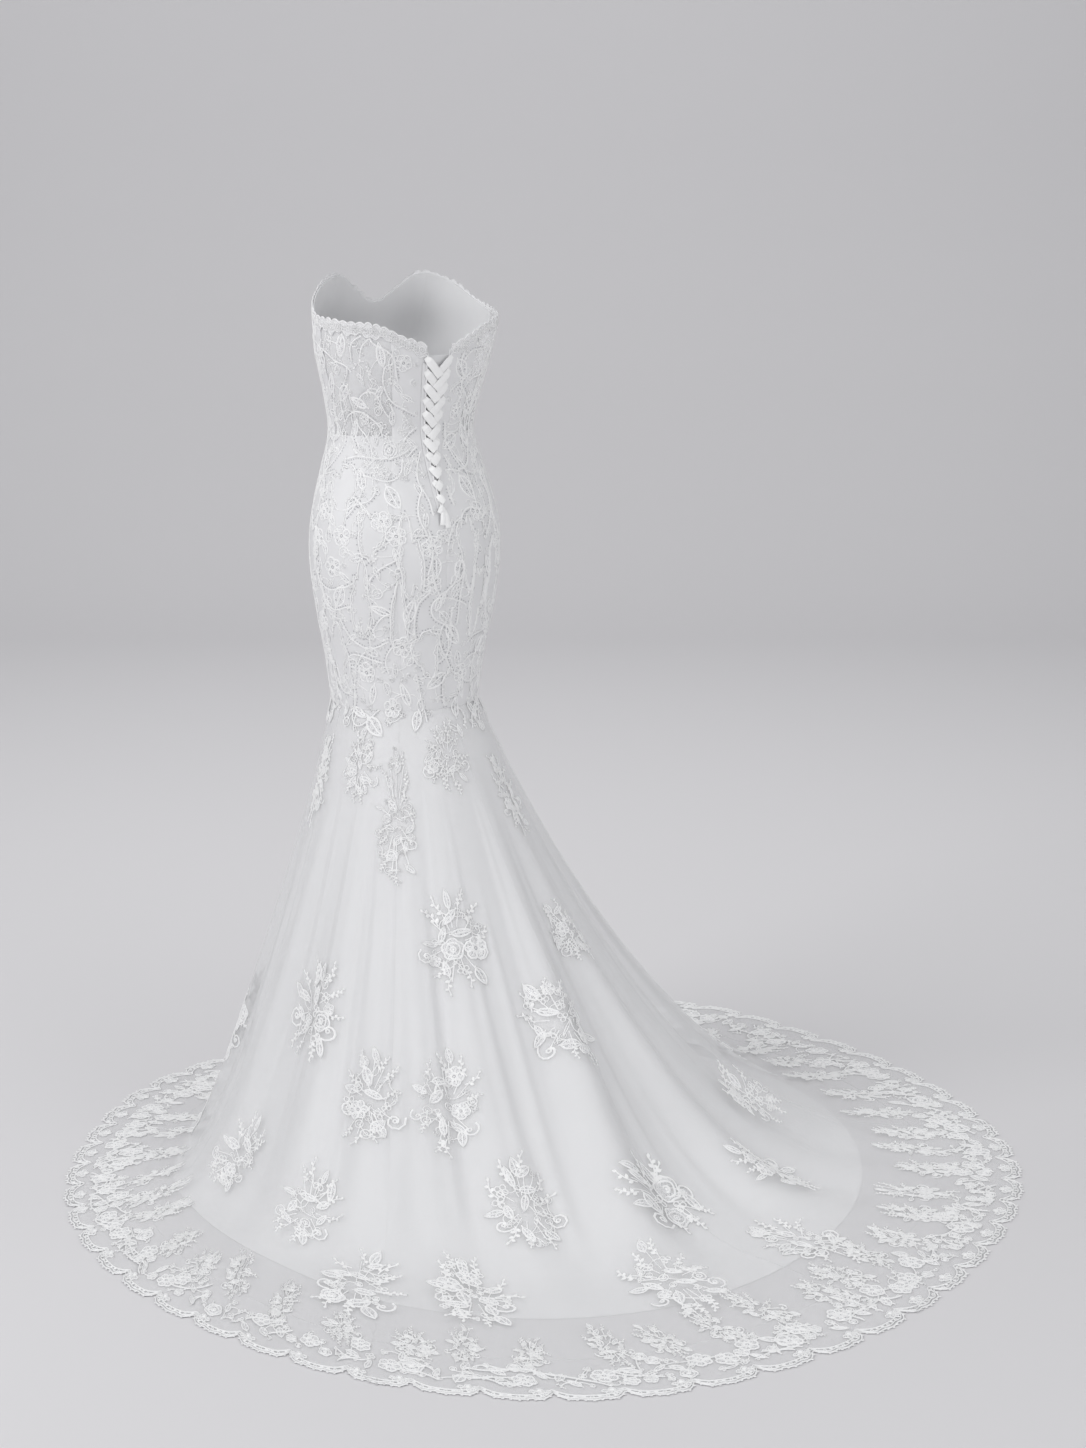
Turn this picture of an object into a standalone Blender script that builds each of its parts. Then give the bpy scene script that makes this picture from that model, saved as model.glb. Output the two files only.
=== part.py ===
"""Mermaid gown, strapless: a laced sheath to the knee, a satin underskirt and a tulle train with a lace hem.

Lengths are metres and +Z is up. Heights are given above the floor that the train lies on, and the whole
gown then hangs from one empty, whose origin is the middle of the bodice where the gown is held up.
Azimuths are degrees round the body line: 0 is the front (-Y), 90 the left (+X), 180 the back (+Y).
"""

import functools
import math
from collections import namedtuple

import bmesh
import bpy
from mathutils import Vector

# Heights above the floor
HOLD_HEIGHT = 1.190
KNEE_HEIGHT = 0.710
WAIST_HEIGHT = 1.129
BUST_HEIGHT = 1.262
LEVEL_TOP = 1.190
LACING_FOOT = 1.020
LACING_HEAD = 1.258
MODESTY_TOP = 1.250
MODESTY_FOOT = 1.000
MODESTY_LEVELS = (1.000, 1.020, 1.075, 1.129, 1.190)

# Cloth and clearances
PANEL_WALL = 0.0020
NET_WALL = 0.0010
SATIN_WALL = 0.0012
TULLE_WALL = 0.0010
LACE_WALL = 0.0015
APPLIQUE_WALL = 0.0012
RIBBON_WALL = 0.0008
SEAM_GAP = 0.0003
LAYER_GAP = 0.0004
TRIM_GAP = 0.0009
RIBBON_GAP = 0.0013
NECK_LACE_GAP = 0.0012
MODESTY_GAP = 0.0008
SKIRT_AIR = 0.004

# Bodice
CUP_AZIMUTH = 27.0
CUP_SPREAD = 20.0
CUP_RISE = 0.055
CUP_DEPTH = 0.026
LACING_WIDTH = 0.040
PLACKET_WIDTH = 0.007
PLACKET_EDGE = 0.001
PLACKET_END = 0.003
LOOP_REACH = 0.004
LOOP_START = 0.35
LOOP_END = 0.65
LACING_CROSSINGS = 11
LACING_SLOPE = 0.35
LACING_TIP = 0.004
LACING_MIDDLE = 0.0025
LACING_DROP = 0.006
RIBBON_SHARE = 0.45
MODESTY_HALF_WIDTH = 0.043
MODESTY_FOOT_SHARE = 0.6
MODESTY_COLUMNS = 8
NECK_LACE_BELOW = 0.016
NECK_LACE_SCALLOP = 0.010
NECK_LACE_NOTCH = 0.003

# Skirt
SKIRT_COLUMNS = 78
SCALLOP_COLUMNS = 3
BORDER_WIDTH = 0.130
BORDER_INNER_BAND = 0.68
GAP_SHARE = 0.62
SCALLOP_DEPTH = 0.020
SATIN_ON_FLOOR = 0.030
SATIN_FOLD_SHARE = 0.8
SKIRT_PANELS = 6
SATIN_ROWS = (0.0, 0.12, 0.28, 0.48, 0.73, 1.0)
TRAIN_ROWS = (0.5, 1.0)

WHITE_SATIN = (0.90, 0.90, 0.91)
WHITE_TULLE = (0.93, 0.93, 0.94)
WHITE_LACE = (0.95, 0.95, 0.95)
SATIN_ROUGHNESS = 0.4
LACE_ROUGHNESS = 0.6
SHARP_ANGLE = 40.0

Section = namedtuple("Section", "height half_width front_depth back_depth centre_y")
BODY_SECTIONS = (
    Section(0.710, 0.113, 0.104, 0.110, 0.014),
    Section(0.780, 0.124, 0.105, 0.114, 0.016),
    Section(0.860, 0.142, 0.107, 0.120, 0.019),
    Section(0.940, 0.153, 0.109, 0.125, 0.020),
    Section(1.000, 0.149, 0.106, 0.118, 0.019),
    Section(1.065, 0.133, 0.096, 0.098, 0.016),
    Section(1.129, 0.116, 0.086, 0.086, 0.014),
    Section(1.190, 0.126, 0.092, 0.092, 0.020),
    Section(1.262, 0.145, 0.100, 0.100, 0.028),
    Section(1.320, 0.150, 0.094, 0.102, 0.032),
    Section(1.380, 0.150, 0.084, 0.102, 0.034),
)

Neck = namedtuple("Neck", "azimuth height")
NECKLINE = (
    Neck(0, 1.318),
    Neck(14, 1.340),
    Neck(28, 1.362),
    Neck(48, 1.350),
    Neck(70, 1.322),
    Neck(95, 1.304),
    Neck(125, 1.298),
    Neck(145, 1.290),
    Neck(160, 1.273),
    Neck(180, 1.258),
    Neck(200, 1.273),
    Neck(215, 1.290),
    Neck(235, 1.298),
    Neck(265, 1.304),
    Neck(290, 1.322),
    Neck(312, 1.350),
    Neck(332, 1.362),
    Neck(346, 1.340),
)

Plan = namedtuple("Plan", "azimuth hem floor_line satin_hem power")
SKIRT_PLAN = (
    Plan(0, 0.485, 0.325, 0.335, 1.50),
    Plan(30, 0.484, 0.330, 0.340, 1.50),
    Plan(54, 0.494, 0.334, 0.344, 1.52),
    Plan(70, 0.523, 0.345, 0.355, 1.56),
    Plan(90, 0.594, 0.400, 0.415, 1.65),
    Plan(110, 0.698, 0.465, 0.485, 1.75),
    Plan(130, 0.838, 0.560, 0.590, 1.85),
    Plan(150, 1.006, 0.680, 0.740, 1.92),
    Plan(165, 1.086, 0.740, 0.820, 1.96),
    Plan(180, 1.084, 0.760, 0.840, 1.98),
    Plan(205, 1.025, 0.745, 0.790, 2.00),
    Plan(225, 0.988, 0.735, 0.740, 2.00),
    Plan(250, 0.907, 0.730, 0.680, 2.00),
    Plan(270, 0.855, 0.700, 0.620, 1.95),
    Plan(292, 0.822, 0.620, 0.540, 1.85),
    Plan(315, 0.655, 0.470, 0.430, 1.65),
    Plan(340, 0.522, 0.350, 0.350, 1.52),
)

Fold = namedtuple("Fold", "knee_azimuth floor_azimuth height half_width")
SKIRT_FOLDS = (
    Fold(8, 6, 0.012, 14),
    Fold(40, 38, 0.012, 13),
    Fold(66, 66, 0.020, 11),
    Fold(87, 88, 0.015, 10),
    Fold(102, 101, 0.020, 9),
    Fold(128, 128, 0.024, 10),
    Fold(141, 142, 0.014, 7),
    Fold(152, 153, 0.026, 8),
    Fold(165, 165, 0.014, 7),
    Fold(193, 180, 0.034, 8),
    Fold(208, 206, 0.030, 8),
    Fold(221, 220, 0.015, 8),
    Fold(233, 234, 0.024, 9),
    Fold(247, 250, 0.018, 9),
    Fold(262, 265, 0.024, 10),
    Fold(284, 287, 0.016, 11),
    Fold(306, 308, 0.014, 12),
    Fold(333, 334, 0.012, 13),
)

Panel = namedtuple("Panel", "name start end columns lower upper wall")
FULL = 99
SHEATH_PANELS = (
    Panel("front_centre", -32, 32, 8, 0, FULL, PANEL_WALL),
    Panel("side_front_left", 32, 92, 6, 0, FULL, PANEL_WALL),
    Panel("side_front_right", -92, -32, 6, 0, FULL, PANEL_WALL),
    Panel("side_back_left", 92, 149, 6, 0, 7, PANEL_WALL),
    Panel("side_back_right", 211, 268, 6, 0, 7, PANEL_WALL),
    Panel("side_net_left", 92, 149, 6, 7, FULL, NET_WALL),
    Panel("side_net_right", 211, 268, 6, 7, FULL, NET_WALL),
    Panel("back_left", 149, 180, 4, 0, FULL, PANEL_WALL),
    Panel("back_right", 180, 211, 4, 0, FULL, PANEL_WALL),
)
SHEATH_LEVELS = (KNEE_HEIGHT, 0.775, 0.840, 0.905, 0.965, 1.020, 1.075, WAIST_HEIGHT, LEVEL_TOP)
SHEATH_TOP_ROWS = (1 / 3, 2 / 3, 1.0)

Spray = namedtuple("Spray", "name azimuth share length width turn")
LACE_SPRAYS = (
    Spray("knee_spray_1", 86, 0.085, 0.150, 0.050, 0),
    Spray("knee_spray_2", 122, 0.050, 0.110, 0.060, 0),
    Spray("knee_spray_3", 146, 0.090, 0.240, 0.062, 0),
    Spray("knee_spray_4", 176, 0.040, 0.100, 0.070, 0),
    Spray("knee_spray_5", 212, 0.085, 0.150, 0.056, 0),
    Spray("knee_spray_6", 318, 0.090, 0.140, 0.060, 0),
    Spray("skirt_spray_1", 121, 0.31, 0.150, 0.098, 0),
    Spray("skirt_spray_2", 165, 0.20, 0.150, 0.100, 0),
    Spray("skirt_spray_3", 187, 0.31, 0.170, 0.092, -20),
    Spray("skirt_spray_4", 206, 0.23, 0.110, 0.060, -15),
    Spray("skirt_spray_5", 142, 0.39, 0.150, 0.090, 0),
    Spray("skirt_spray_6", 158, 0.38, 0.170, 0.090, 10),
    Spray("skirt_spray_7", 167, 0.54, 0.170, 0.100, 0),
    Spray("skirt_spray_8", 188, 0.59, 0.160, 0.130, -30),
    Spray("skirt_spray_9", 209, 0.67, 0.160, 0.100, -30),
    Spray("skirt_spray_10", 229, 0.59, 0.140, 0.090, -20),
    Spray("skirt_spray_11", 133, 0.61, 0.150, 0.090, 15),
    Spray("skirt_spray_12", 108, 0.60, 0.130, 0.080, 15),
    Spray("skirt_spray_13", 144, 0.79, 0.190, 0.110, 10),
    Spray("skirt_spray_14", 157, 0.76, 0.200, 0.110, 0),
    Spray("skirt_spray_15", 178, 0.80, 0.200, 0.110, 0),
    Spray("skirt_spray_16", 197, 0.84, 0.180, 0.110, -10),
    Spray("skirt_spray_17", 258, 0.66, 0.150, 0.100, 0),
    Spray("skirt_spray_18", 62, 0.50, 0.140, 0.080, 0),
    Spray("skirt_spray_19", 18, 0.45, 0.140, 0.090, 0),
    Spray("skirt_spray_20", 322, 0.52, 0.150, 0.090, 0),
)
SPRAY_TIPS = (1.00, 0.86, 0.98, 0.90, 0.94, 0.84, 0.96)
SPRAY_NOTCH = 0.62
SPRAY_CUT_DEPTH = 0.060
SPRAY_REACH = 0.16


def smooth_value(rows, column, at, period=None):
    """Reads one column of a table between its rows, on a smooth curve through them."""
    keys = [row[0] for row in rows]
    values = [getattr(row, column) for row in rows]
    if period:
        at = at % period
        keys = [keys[-2] - period, keys[-1] - period] + keys + [keys[0] + period, keys[1] + period]
        values = values[-2:] + values + values[:2]
    at = min(max(at, keys[0]), keys[-1])
    low = 0
    while low < len(keys) - 2 and keys[low + 1] <= at:
        low += 1
    high = low + 1
    before = max(low - 1, 0)
    after = min(high + 1, len(keys) - 1)
    span = keys[high] - keys[low]
    slope_low = (values[high] - values[before]) / (keys[high] - keys[before]) * span
    slope_high = (values[after] - values[low]) / (keys[after] - keys[low]) * span
    t = (at - keys[low]) / span
    return (
        (2 * t**3 - 3 * t**2 + 1) * values[low]
        + (t**3 - 2 * t**2 + t) * slope_low
        + (3 * t**2 - 2 * t**3) * values[high]
        + (t**3 - t**2) * slope_high
    )


def smooth_step(low, high, at):
    """Rises from 0 at low to 1 at high."""
    t = min(max((at - low) / (high - low), 0.0), 1.0)
    return t * t * (3 - 2 * t)


def turn_between(first, second):
    """Signed angle in degrees from the second azimuth to the first."""
    return (first - second + 180) % 360 - 180


@functools.lru_cache(maxsize=None)
def section_at(height):
    """Half width, front depth, back depth and centre of the body line at a height."""
    return tuple(smooth_value(BODY_SECTIONS, name, height) for name in BODY_SECTIONS[0]._fields[1:])


def cup_fullness(azimuth, height):
    """Extra depth of the two cups."""
    rise = math.exp(-(((height - BUST_HEIGHT) / CUP_RISE) ** 2))
    left = math.exp(-((turn_between(azimuth, CUP_AZIMUTH) / CUP_SPREAD) ** 2))
    right = math.exp(-((turn_between(azimuth, -CUP_AZIMUTH) / CUP_SPREAD) ** 2))
    return CUP_DEPTH * rise * (left + right)


def form_point(azimuth, height, out=0.0):
    """Point on the smooth form that the sheath's rows are read from, moved out square to its plan."""
    half_width, front, back, centre_y = section_at(round(height, 6))
    angle = math.radians(azimuth)
    depth = front if math.cos(angle) > 0 else back
    normal = Vector((math.sin(angle) / half_width, -math.cos(angle) / depth, 0)).normalized()
    point = Vector((half_width * math.sin(angle), centre_y - depth * math.cos(angle), height))
    return point + normal * (out + cup_fullness(azimuth, height))


def body_point(azimuth, height, out=0.0):
    """Point on the sheath's inner face, on the straight run between two of its rows."""
    levels = sheath_heights(azimuth)
    low = 0
    while low < len(levels) - 2 and levels[low + 1] <= height:
        low += 1
    share = (height - levels[low]) / (levels[low + 1] - levels[low])
    below = form_point(azimuth, levels[low], out)
    return below.lerp(form_point(azimuth, levels[low + 1], out), share)


def neck_height(azimuth):
    """Height of the cut neckline."""
    return smooth_value(NECKLINE, "height", azimuth, 360)


def sheath_heights(azimuth):
    """Row heights of the sheath at one azimuth, knee to neckline."""
    top = neck_height(azimuth)
    return list(SHEATH_LEVELS) + [LEVEL_TOP + (top - LEVEL_TOP) * share for share in SHEATH_TOP_ROWS]


def lacing_half_width(height):
    """Half the open width of the lacing at a height."""
    share = (height - LACING_FOOT) / (LACING_HEAD - LACING_FOOT)
    return 0.5 * LACING_WIDTH * max(share, 0.0)


def azimuth_off_back(across, height):
    """Azimuth of a point on the back that lies across to the left of its middle."""
    half_width = section_at(round(height, 6))[0]
    return 180 - math.degrees(math.asin(across / half_width))


@functools.lru_cache(maxsize=None)
def hem_azimuths():
    """Azimuths of the skirt's columns, evenly spaced along the hem."""
    steps = 1440
    plan = []
    for step in range(steps + 1):
        azimuth = 360 * step / steps
        radius = smooth_value(SKIRT_PLAN, "hem", azimuth, 360)
        angle = math.radians(azimuth)
        plan.append(Vector((radius * math.sin(angle), -radius * math.cos(angle))))
    lengths = [0.0]
    for first, second in zip(plan, plan[1:]):
        lengths.append(lengths[-1] + (second - first).length)
    azimuths = []
    step = 0
    for column in range(SKIRT_COLUMNS):
        target = lengths[-1] * column / SKIRT_COLUMNS
        while lengths[step + 1] < target:
            step += 1
        share = (target - lengths[step]) / (lengths[step + 1] - lengths[step])
        azimuths.append(360 * (step + share) / steps)
    return azimuths


@functools.lru_cache(maxsize=None)
def skirt_lines(azimuth):
    """Knee point, hem point and the shares of the way between them where the skirt's zones end."""
    plan = {name: smooth_value(SKIRT_PLAN, name, azimuth, 360) for name in SKIRT_PLAN[0]._fields[1:]}
    knee = body_point(azimuth, KNEE_HEIGHT)
    angle = math.radians(azimuth)
    hem = Vector((plan["hem"] * math.sin(angle), -plan["hem"] * math.cos(angle), 0))
    start = Vector((knee.x, knee.y, 0))
    reach = (hem - start).length
    inside = plan["hem"] - reach
    floor_line = (plan["floor_line"] - inside) / reach
    satin = (plan["satin_hem"] - inside) / reach
    tulle = 1 - BORDER_WIDTH / reach
    return start, hem, reach, floor_line, satin, tulle, plan["power"]


def fold_height(azimuth, travel, floor_line, end):
    """Height of the folds over the plain skirt."""
    drift = smooth_step(0.0, floor_line, travel)
    rise = smooth_step(0.02, 0.55, travel / floor_line)
    fall = 1 - smooth_step(0.72 * floor_line, end, travel)
    total = 0.0
    for fold in SKIRT_FOLDS:
        middle = fold.knee_azimuth + turn_between(fold.floor_azimuth, fold.knee_azimuth) * drift
        off = turn_between(azimuth, middle) / fold.half_width
        if abs(off) < 1:
            total += fold.height * math.cos(0.5 * math.pi * off) ** 2
    return total * rise * fall


def flare(azimuth, travel, satin_layer):
    """Point of the plain skirt and its outward direction, at a share of the way from knee to hem."""
    start, hem, reach, floor_line, satin, tulle, power = skirt_lines(round(azimuth, 6))
    end = tulle
    if satin_layer:
        floor_line = min(floor_line, satin - SATIN_ON_FLOOR / reach)
        end = satin
    left = max(1 - travel / floor_line, 0.0)
    height = KNEE_HEIGHT * left**power
    steep = KNEE_HEIGHT * power * left ** (power - 1) / (floor_line * reach)
    out = (hem - start).normalized()
    lift = 1.0 if travel > 0 else 0.0
    normal = (out * steep + Vector((0, 0, lift))).normalized()
    point = start.lerp(hem, travel)
    point.z = height
    return point, normal, fold_height(azimuth, travel, floor_line, end)


def satin_point(azimuth, travel, out):
    """Point on the satin underskirt, moved out from its inner face."""
    point, normal, fold = flare(azimuth, travel, True)
    return point + normal * (SATIN_FOLD_SHARE * fold + out)


def tulle_point(azimuth, travel, out):
    """Point on the tulle overskirt, moved out from its inner face."""
    start, hem, reach, floor_line, satin, tulle, power = skirt_lines(round(azimuth, 6))
    point, normal, fold = flare(azimuth, travel, False)
    over_satin = SATIN_WALL + LAYER_GAP + SKIRT_AIR * math.sin(math.pi * min(travel / floor_line, 1.0))
    over_satin *= 1 - smooth_step(satin, tulle, travel)
    return point + normal * (fold + over_satin + out)


def satin_travels(azimuth):
    """Shares of the way where the satin's rows lie."""
    satin = skirt_lines(round(azimuth, 6))[4]
    return [satin * share for share in SATIN_ROWS]


def tulle_travels(azimuth):
    """Shares of the way where the tulle's rows lie: the satin's, then those of the train."""
    lines = skirt_lines(round(azimuth, 6))
    satin = lines[4]
    tulle = lines[5]
    return satin_travels(azimuth) + [satin + (tulle - satin) * share for share in TRAIN_ROWS]


def pull_in(grid, inner_sides):
    """Moves the edges of a grid of points in by half a seam gap on the sides named."""
    half = 0.5 * SEAM_GAP
    rows = len(grid)
    columns = len(grid[0])
    for row in grid:
        if "start" in inner_sides:
            row[0] = row[0] + (row[1] - row[0]).normalized() * half
        if "end" in inner_sides:
            row[-1] = row[-1] + (row[-2] - row[-1]).normalized() * half
    for column in range(columns):
        if "low" in inner_sides:
            grid[0][column] = grid[0][column] + (grid[1][column] - grid[0][column]).normalized() * half
        if "high" in inner_sides:
            last = grid[rows - 1][column]
            grid[rows - 1][column] = last + (grid[rows - 2][column] - last).normalized() * half
    return grid


def refine_columns(grid, parts):
    """Splits each column of a grid of points in equal parts along its straight runs."""
    fine = []
    for row in grid:
        points = []
        for first, second in zip(row, row[1:]):
            points += [first.lerp(second, part / parts) for part in range(parts)]
        fine.append(points + [row[-1]])
    return fine


def wall_mesh(inner, outer, keep=None, pierced=None):
    """Closed wall between two grids of points, without the cells that keep refuses.

    A pierced cell has a diamond cut through it.
    """
    rows = len(inner) - 1
    columns = len(inner[0]) - 1
    cells = {(r, c) for r in range(rows) for c in range(columns) if keep is None or keep(r, c)}
    mesh = bmesh.new()
    made = {}

    def vertex(side, key, place):
        if (side, key) not in made:
            made[side, key] = mesh.verts.new(place)
        return made[side, key]

    def corner(side, r, c):
        return vertex(side, (r, c), (outer if side else inner)[r][c])

    def sheet_face(side, corners):
        mesh.faces.new(corners if side else corners[::-1])

    def edge_wall(first, second):
        (a, b), (c, d) = first, second
        mesh.faces.new((a, b, d))
        mesh.faces.new((a, d, c))

    for r, c in sorted(cells):
        around = ((r, c), (r, c + 1), (r + 1, c + 1), (r + 1, c))
        for side in (0, 1):
            corners = [corner(side, *place) for place in around]
            if pierced is None or not pierced(r, c):
                sheet_face(side, corners[:3])
                sheet_face(side, (corners[0], corners[2], corners[3]))
                continue
            places = [vert.co.copy() for vert in corners]
            middle = sum(places, Vector()) / 4
            rim = []
            for step in range(4):
                mid_edge = (places[step] + places[(step + 1) % 4]) / 2
                rim.append(vertex(side, (r, c, step), middle.lerp(mid_edge, GAP_SHARE)))
            for step in range(4):
                after = (step + 1) % 4
                sheet_face(side, (corners[step], corners[after], rim[step]))
                sheet_face(side, (corners[after], rim[after], rim[step]))
        if pierced is not None and pierced(r, c):
            for step in range(4):
                after = (step + 1) % 4
                first = (made[0, (r, c, step)], made[1, (r, c, step)])
                second = (made[0, (r, c, after)], made[1, (r, c, after)])
                edge_wall(first, second)
        neighbours = ((r - 1, c), (r, c + 1), (r + 1, c), (r, c - 1))
        for step, beside in enumerate(neighbours):
            if beside in cells:
                continue
            first = (corner(0, *around[step]), corner(1, *around[step]))
            second = (corner(0, *around[(step + 1) % 4]), corner(1, *around[(step + 1) % 4]))
            edge_wall(second, first)
    bmesh.ops.recalc_face_normals(mesh, faces=mesh.faces)
    if mesh.calc_volume(signed=True) < 0:
        bmesh.ops.reverse_faces(mesh, faces=mesh.faces)
    return mesh


def fabric(name, colour, roughness):
    """Principled material of one piece of cloth."""
    material = bpy.data.materials.new(name)
    material.use_nodes = True
    shader = material.node_tree.nodes["Principled BSDF"]
    shader.inputs["Base Color"].default_value = (*colour, 1.0)
    shader.inputs["Roughness"].default_value = roughness
    shader.inputs["Metallic"].default_value = 0.0
    return material


def add_piece(name, mesh, colour, roughness, hold):
    """Makes the named object of one piece and hangs it from the empty."""
    data = bpy.data.meshes.new(name)
    mesh.to_mesh(data)
    mesh.free()
    data.materials.append(fabric(name, colour, roughness))
    data.shade_smooth()
    data.set_sharp_from_angle(angle=math.radians(SHARP_ANGLE))
    piece = bpy.data.objects.new(name, data)
    bpy.context.scene.collection.objects.link(piece)
    piece.parent = hold
    return piece


def panel_azimuth(panel, share, height):
    """Azimuth across a sheath panel; the back panels stop at the lacing's edge."""
    start = panel.start
    end = panel.end
    if panel.name == "back_left":
        end = azimuth_off_back(lacing_half_width(height), height)
    if panel.name == "back_right":
        start = 360 - azimuth_off_back(lacing_half_width(height), height)
    return start + (end - start) * share


def sheath_grid(panel, out):
    """Grid of points of a sheath panel at one depth of its wall."""
    columns = []
    for column in range(panel.columns + 1):
        share = column / panel.columns
        flat_azimuth = panel.start + (panel.end - panel.start) * share
        heights = sheath_heights(flat_azimuth)[panel.lower:panel.upper + 1]
        columns.append([body_point(panel_azimuth(panel, share, z), z, out) for z in heights])
    return [list(row) for row in zip(*columns)]


def add_sheath(hold):
    """Princess-cut panels from the knee seam to the neckline."""
    for panel in SHEATH_PANELS:
        sides = ["start", "end"]
        if panel.upper != FULL:
            sides.append("high")
        if panel.lower > 0:
            sides.append("low")
        inner = pull_in(sheath_grid(panel, 0.0), sides)
        outer = pull_in(sheath_grid(panel, panel.wall), sides)
        colour = WHITE_TULLE if panel.wall == NET_WALL else WHITE_SATIN
        add_piece(panel.name, wall_mesh(inner, outer), colour, SATIN_ROUGHNESS, hold)


def add_modesty_panel(hold):
    """Plain satin panel behind the lacing."""
    heights = list(MODESTY_LEVELS)
    heights += [LEVEL_TOP + (LACING_HEAD - LEVEL_TOP) * share for share in SHEATH_TOP_ROWS[:2]]
    heights.append(MODESTY_TOP)
    grids = []
    for depth in (-MODESTY_GAP - SATIN_WALL, -MODESTY_GAP):
        grid = []
        for height in heights:
            up = (height - MODESTY_FOOT) / (MODESTY_TOP - MODESTY_FOOT)
            half = MODESTY_HALF_WIDTH * (MODESTY_FOOT_SHARE + (1 - MODESTY_FOOT_SHARE) * up)
            across = [half * (1 - 2 * column / MODESTY_COLUMNS) for column in range(MODESTY_COLUMNS + 1)]
            grid.append([body_point(azimuth_off_back(x, height), height, depth) for x in across])
        grids.append(grid)
    add_piece("modesty_panel", wall_mesh(*grids), WHITE_SATIN, SATIN_ROUGHNESS, hold)


def add_neck_lace(hold):
    """Scalloped lace edging along the neckline, outside the panels."""
    runs = (
        ("neck_lace_front", ("side_front_right", "front_centre", "side_front_left")),
        ("neck_lace_left", ("side_net_left", "back_left")),
        ("neck_lace_right", ("back_right", "side_net_right")),
    )
    panels = {panel.name: panel for panel in SHEATH_PANELS}
    for name, members in runs:
        grids = []
        for depth in (NECK_LACE_GAP, NECK_LACE_GAP + LACE_WALL):
            low_row = []
            high_row = []
            for member in members:
                panel = panels[member]
                grid = sheath_grid(panel, PANEL_WALL + depth)
                below, top = grid[-2], grid[-1]
                if low_row:
                    low_row.pop()
                    high_row.pop()
                low_row += below
                high_row += top
            grids.append(refine_columns([low_row, high_row], 2))
        rows = []
        for grid in grids:
            low_edge = []
            high_edge = []
            for column, (low, high) in enumerate(zip(*grid)):
                up = (high - low).normalized()
                above = NECK_LACE_SCALLOP if column % 2 else NECK_LACE_NOTCH
                low_edge.append(high - up * NECK_LACE_BELOW)
                high_edge.append(high + up * above)
            rows.append(pull_in([low_edge, high_edge], ["start", "end"]))
        add_piece(name, wall_mesh(*rows), WHITE_LACE, LACE_ROUGHNESS, hold)


def back_strip(across, heights, out):
    """Grid of points on the back: a row for each height, at distances to the left of the middle."""
    return [[body_point(azimuth_off_back(x, z), z, out) for x in across(z)] for z in heights]


def add_plackets(hold):
    """Edge strips of the lacing with a tab of loop at each crossing."""
    pitch = (LACING_HEAD - LACING_FOOT) / LACING_CROSSINGS
    heights = [LACING_FOOT]
    for crossing in range(LACING_CROSSINGS):
        low = LACING_FOOT + crossing * pitch
        heights += [low + LOOP_START * pitch, low + LOOP_END * pitch]
    top = LACING_HEAD - NECK_LACE_BELOW
    heights[-1] = top - 2 * PLACKET_END
    heights.append(top - PLACKET_END)
    rise = PANEL_WALL + TRIM_GAP
    for name, side in (("loop_placket_left", 1), ("loop_placket_right", -1)):
        grids = []
        for depth in (rise, rise + LACE_WALL):
            def across(height):
                edge = lacing_half_width(height) + PLACKET_EDGE
                reach = min(LOOP_REACH, edge - SEAM_GAP)
                places = (edge + PLACKET_WIDTH, edge, edge - reach)
                return [side * place for place in places]

            grids.append(back_strip(across, heights, depth))
        mesh = wall_mesh(*grids, keep=lambda r, c: c == 0 or (r % 2 == 1 and r > 2))
        add_piece(name, mesh, WHITE_SATIN, SATIN_ROUGHNESS, hold)


def add_lacing(hold):
    """Crossed ribbon, as chevrons joined where they cross."""
    pitch = (LACING_HEAD - LACING_FOOT) / LACING_CROSSINGS
    levels = []
    for crossing in range(1, LACING_CROSSINGS):
        low = LACING_FOOT + crossing * pitch
        levels += [low, low + RIBBON_SHARE * pitch]
    rise = PANEL_WALL + TRIM_GAP + LACE_WALL + RIBBON_GAP
    grids = []
    for depth in (rise, rise + RIBBON_WALL):
        grid = []
        for level in levels:
            tip = lacing_half_width(level) + LACING_TIP
            row = []
            for across in (tip, LACING_MIDDLE, -LACING_MIDDLE, -tip):
                height = level - LACING_DROP + LACING_SLOPE * (abs(across) - LACING_MIDDLE)
                row.append(body_point(azimuth_off_back(across, height), height, depth))
            grid.append(row)
        grids.append(grid)
    mesh = wall_mesh(*grids, keep=lambda r, c: c == 1 or r % 2 == 0)
    add_piece("lacing_ribbon", mesh, WHITE_SATIN, SATIN_ROUGHNESS, hold)


def skirt_grid(columns, travels, place, out):
    """Grid of points of a skirt layer over a run of columns."""
    azimuths = hem_azimuths()
    grid = []
    for column in columns:
        azimuth = azimuths[column % SKIRT_COLUMNS]
        grid.append([place(azimuth, travel, out) for travel in travels(azimuth)])
    return [list(row) for row in zip(*grid)]


def skirt_runs():
    """Columns of each skirt panel, with the seam column at both ends."""
    width = SKIRT_COLUMNS // SKIRT_PANELS
    return [range(first * width, (first + 1) * width + 1) for first in range(SKIRT_PANELS)]


def add_skirt_layer(label, travels, place, wall, colour, hold):
    """One skirt layer, a gore for each run of columns."""
    for number, columns in enumerate(skirt_runs(), start=1):
        sides = ["start", "end", "low", "high"]
        inner = pull_in(skirt_grid(columns, travels, place, 0.0), sides)
        outer = pull_in(skirt_grid(columns, travels, place, wall), sides)
        add_piece(f"{label}_{number}", wall_mesh(inner, outer), colour, SATIN_ROUGHNESS, hold)


def border_travels(azimuth):
    """Shares of the way where the lace border's rows lie."""
    tulle = skirt_lines(round(azimuth, 6))[5]
    return [tulle, tulle + (1 - tulle) * BORDER_INNER_BAND, 1.0]


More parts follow.
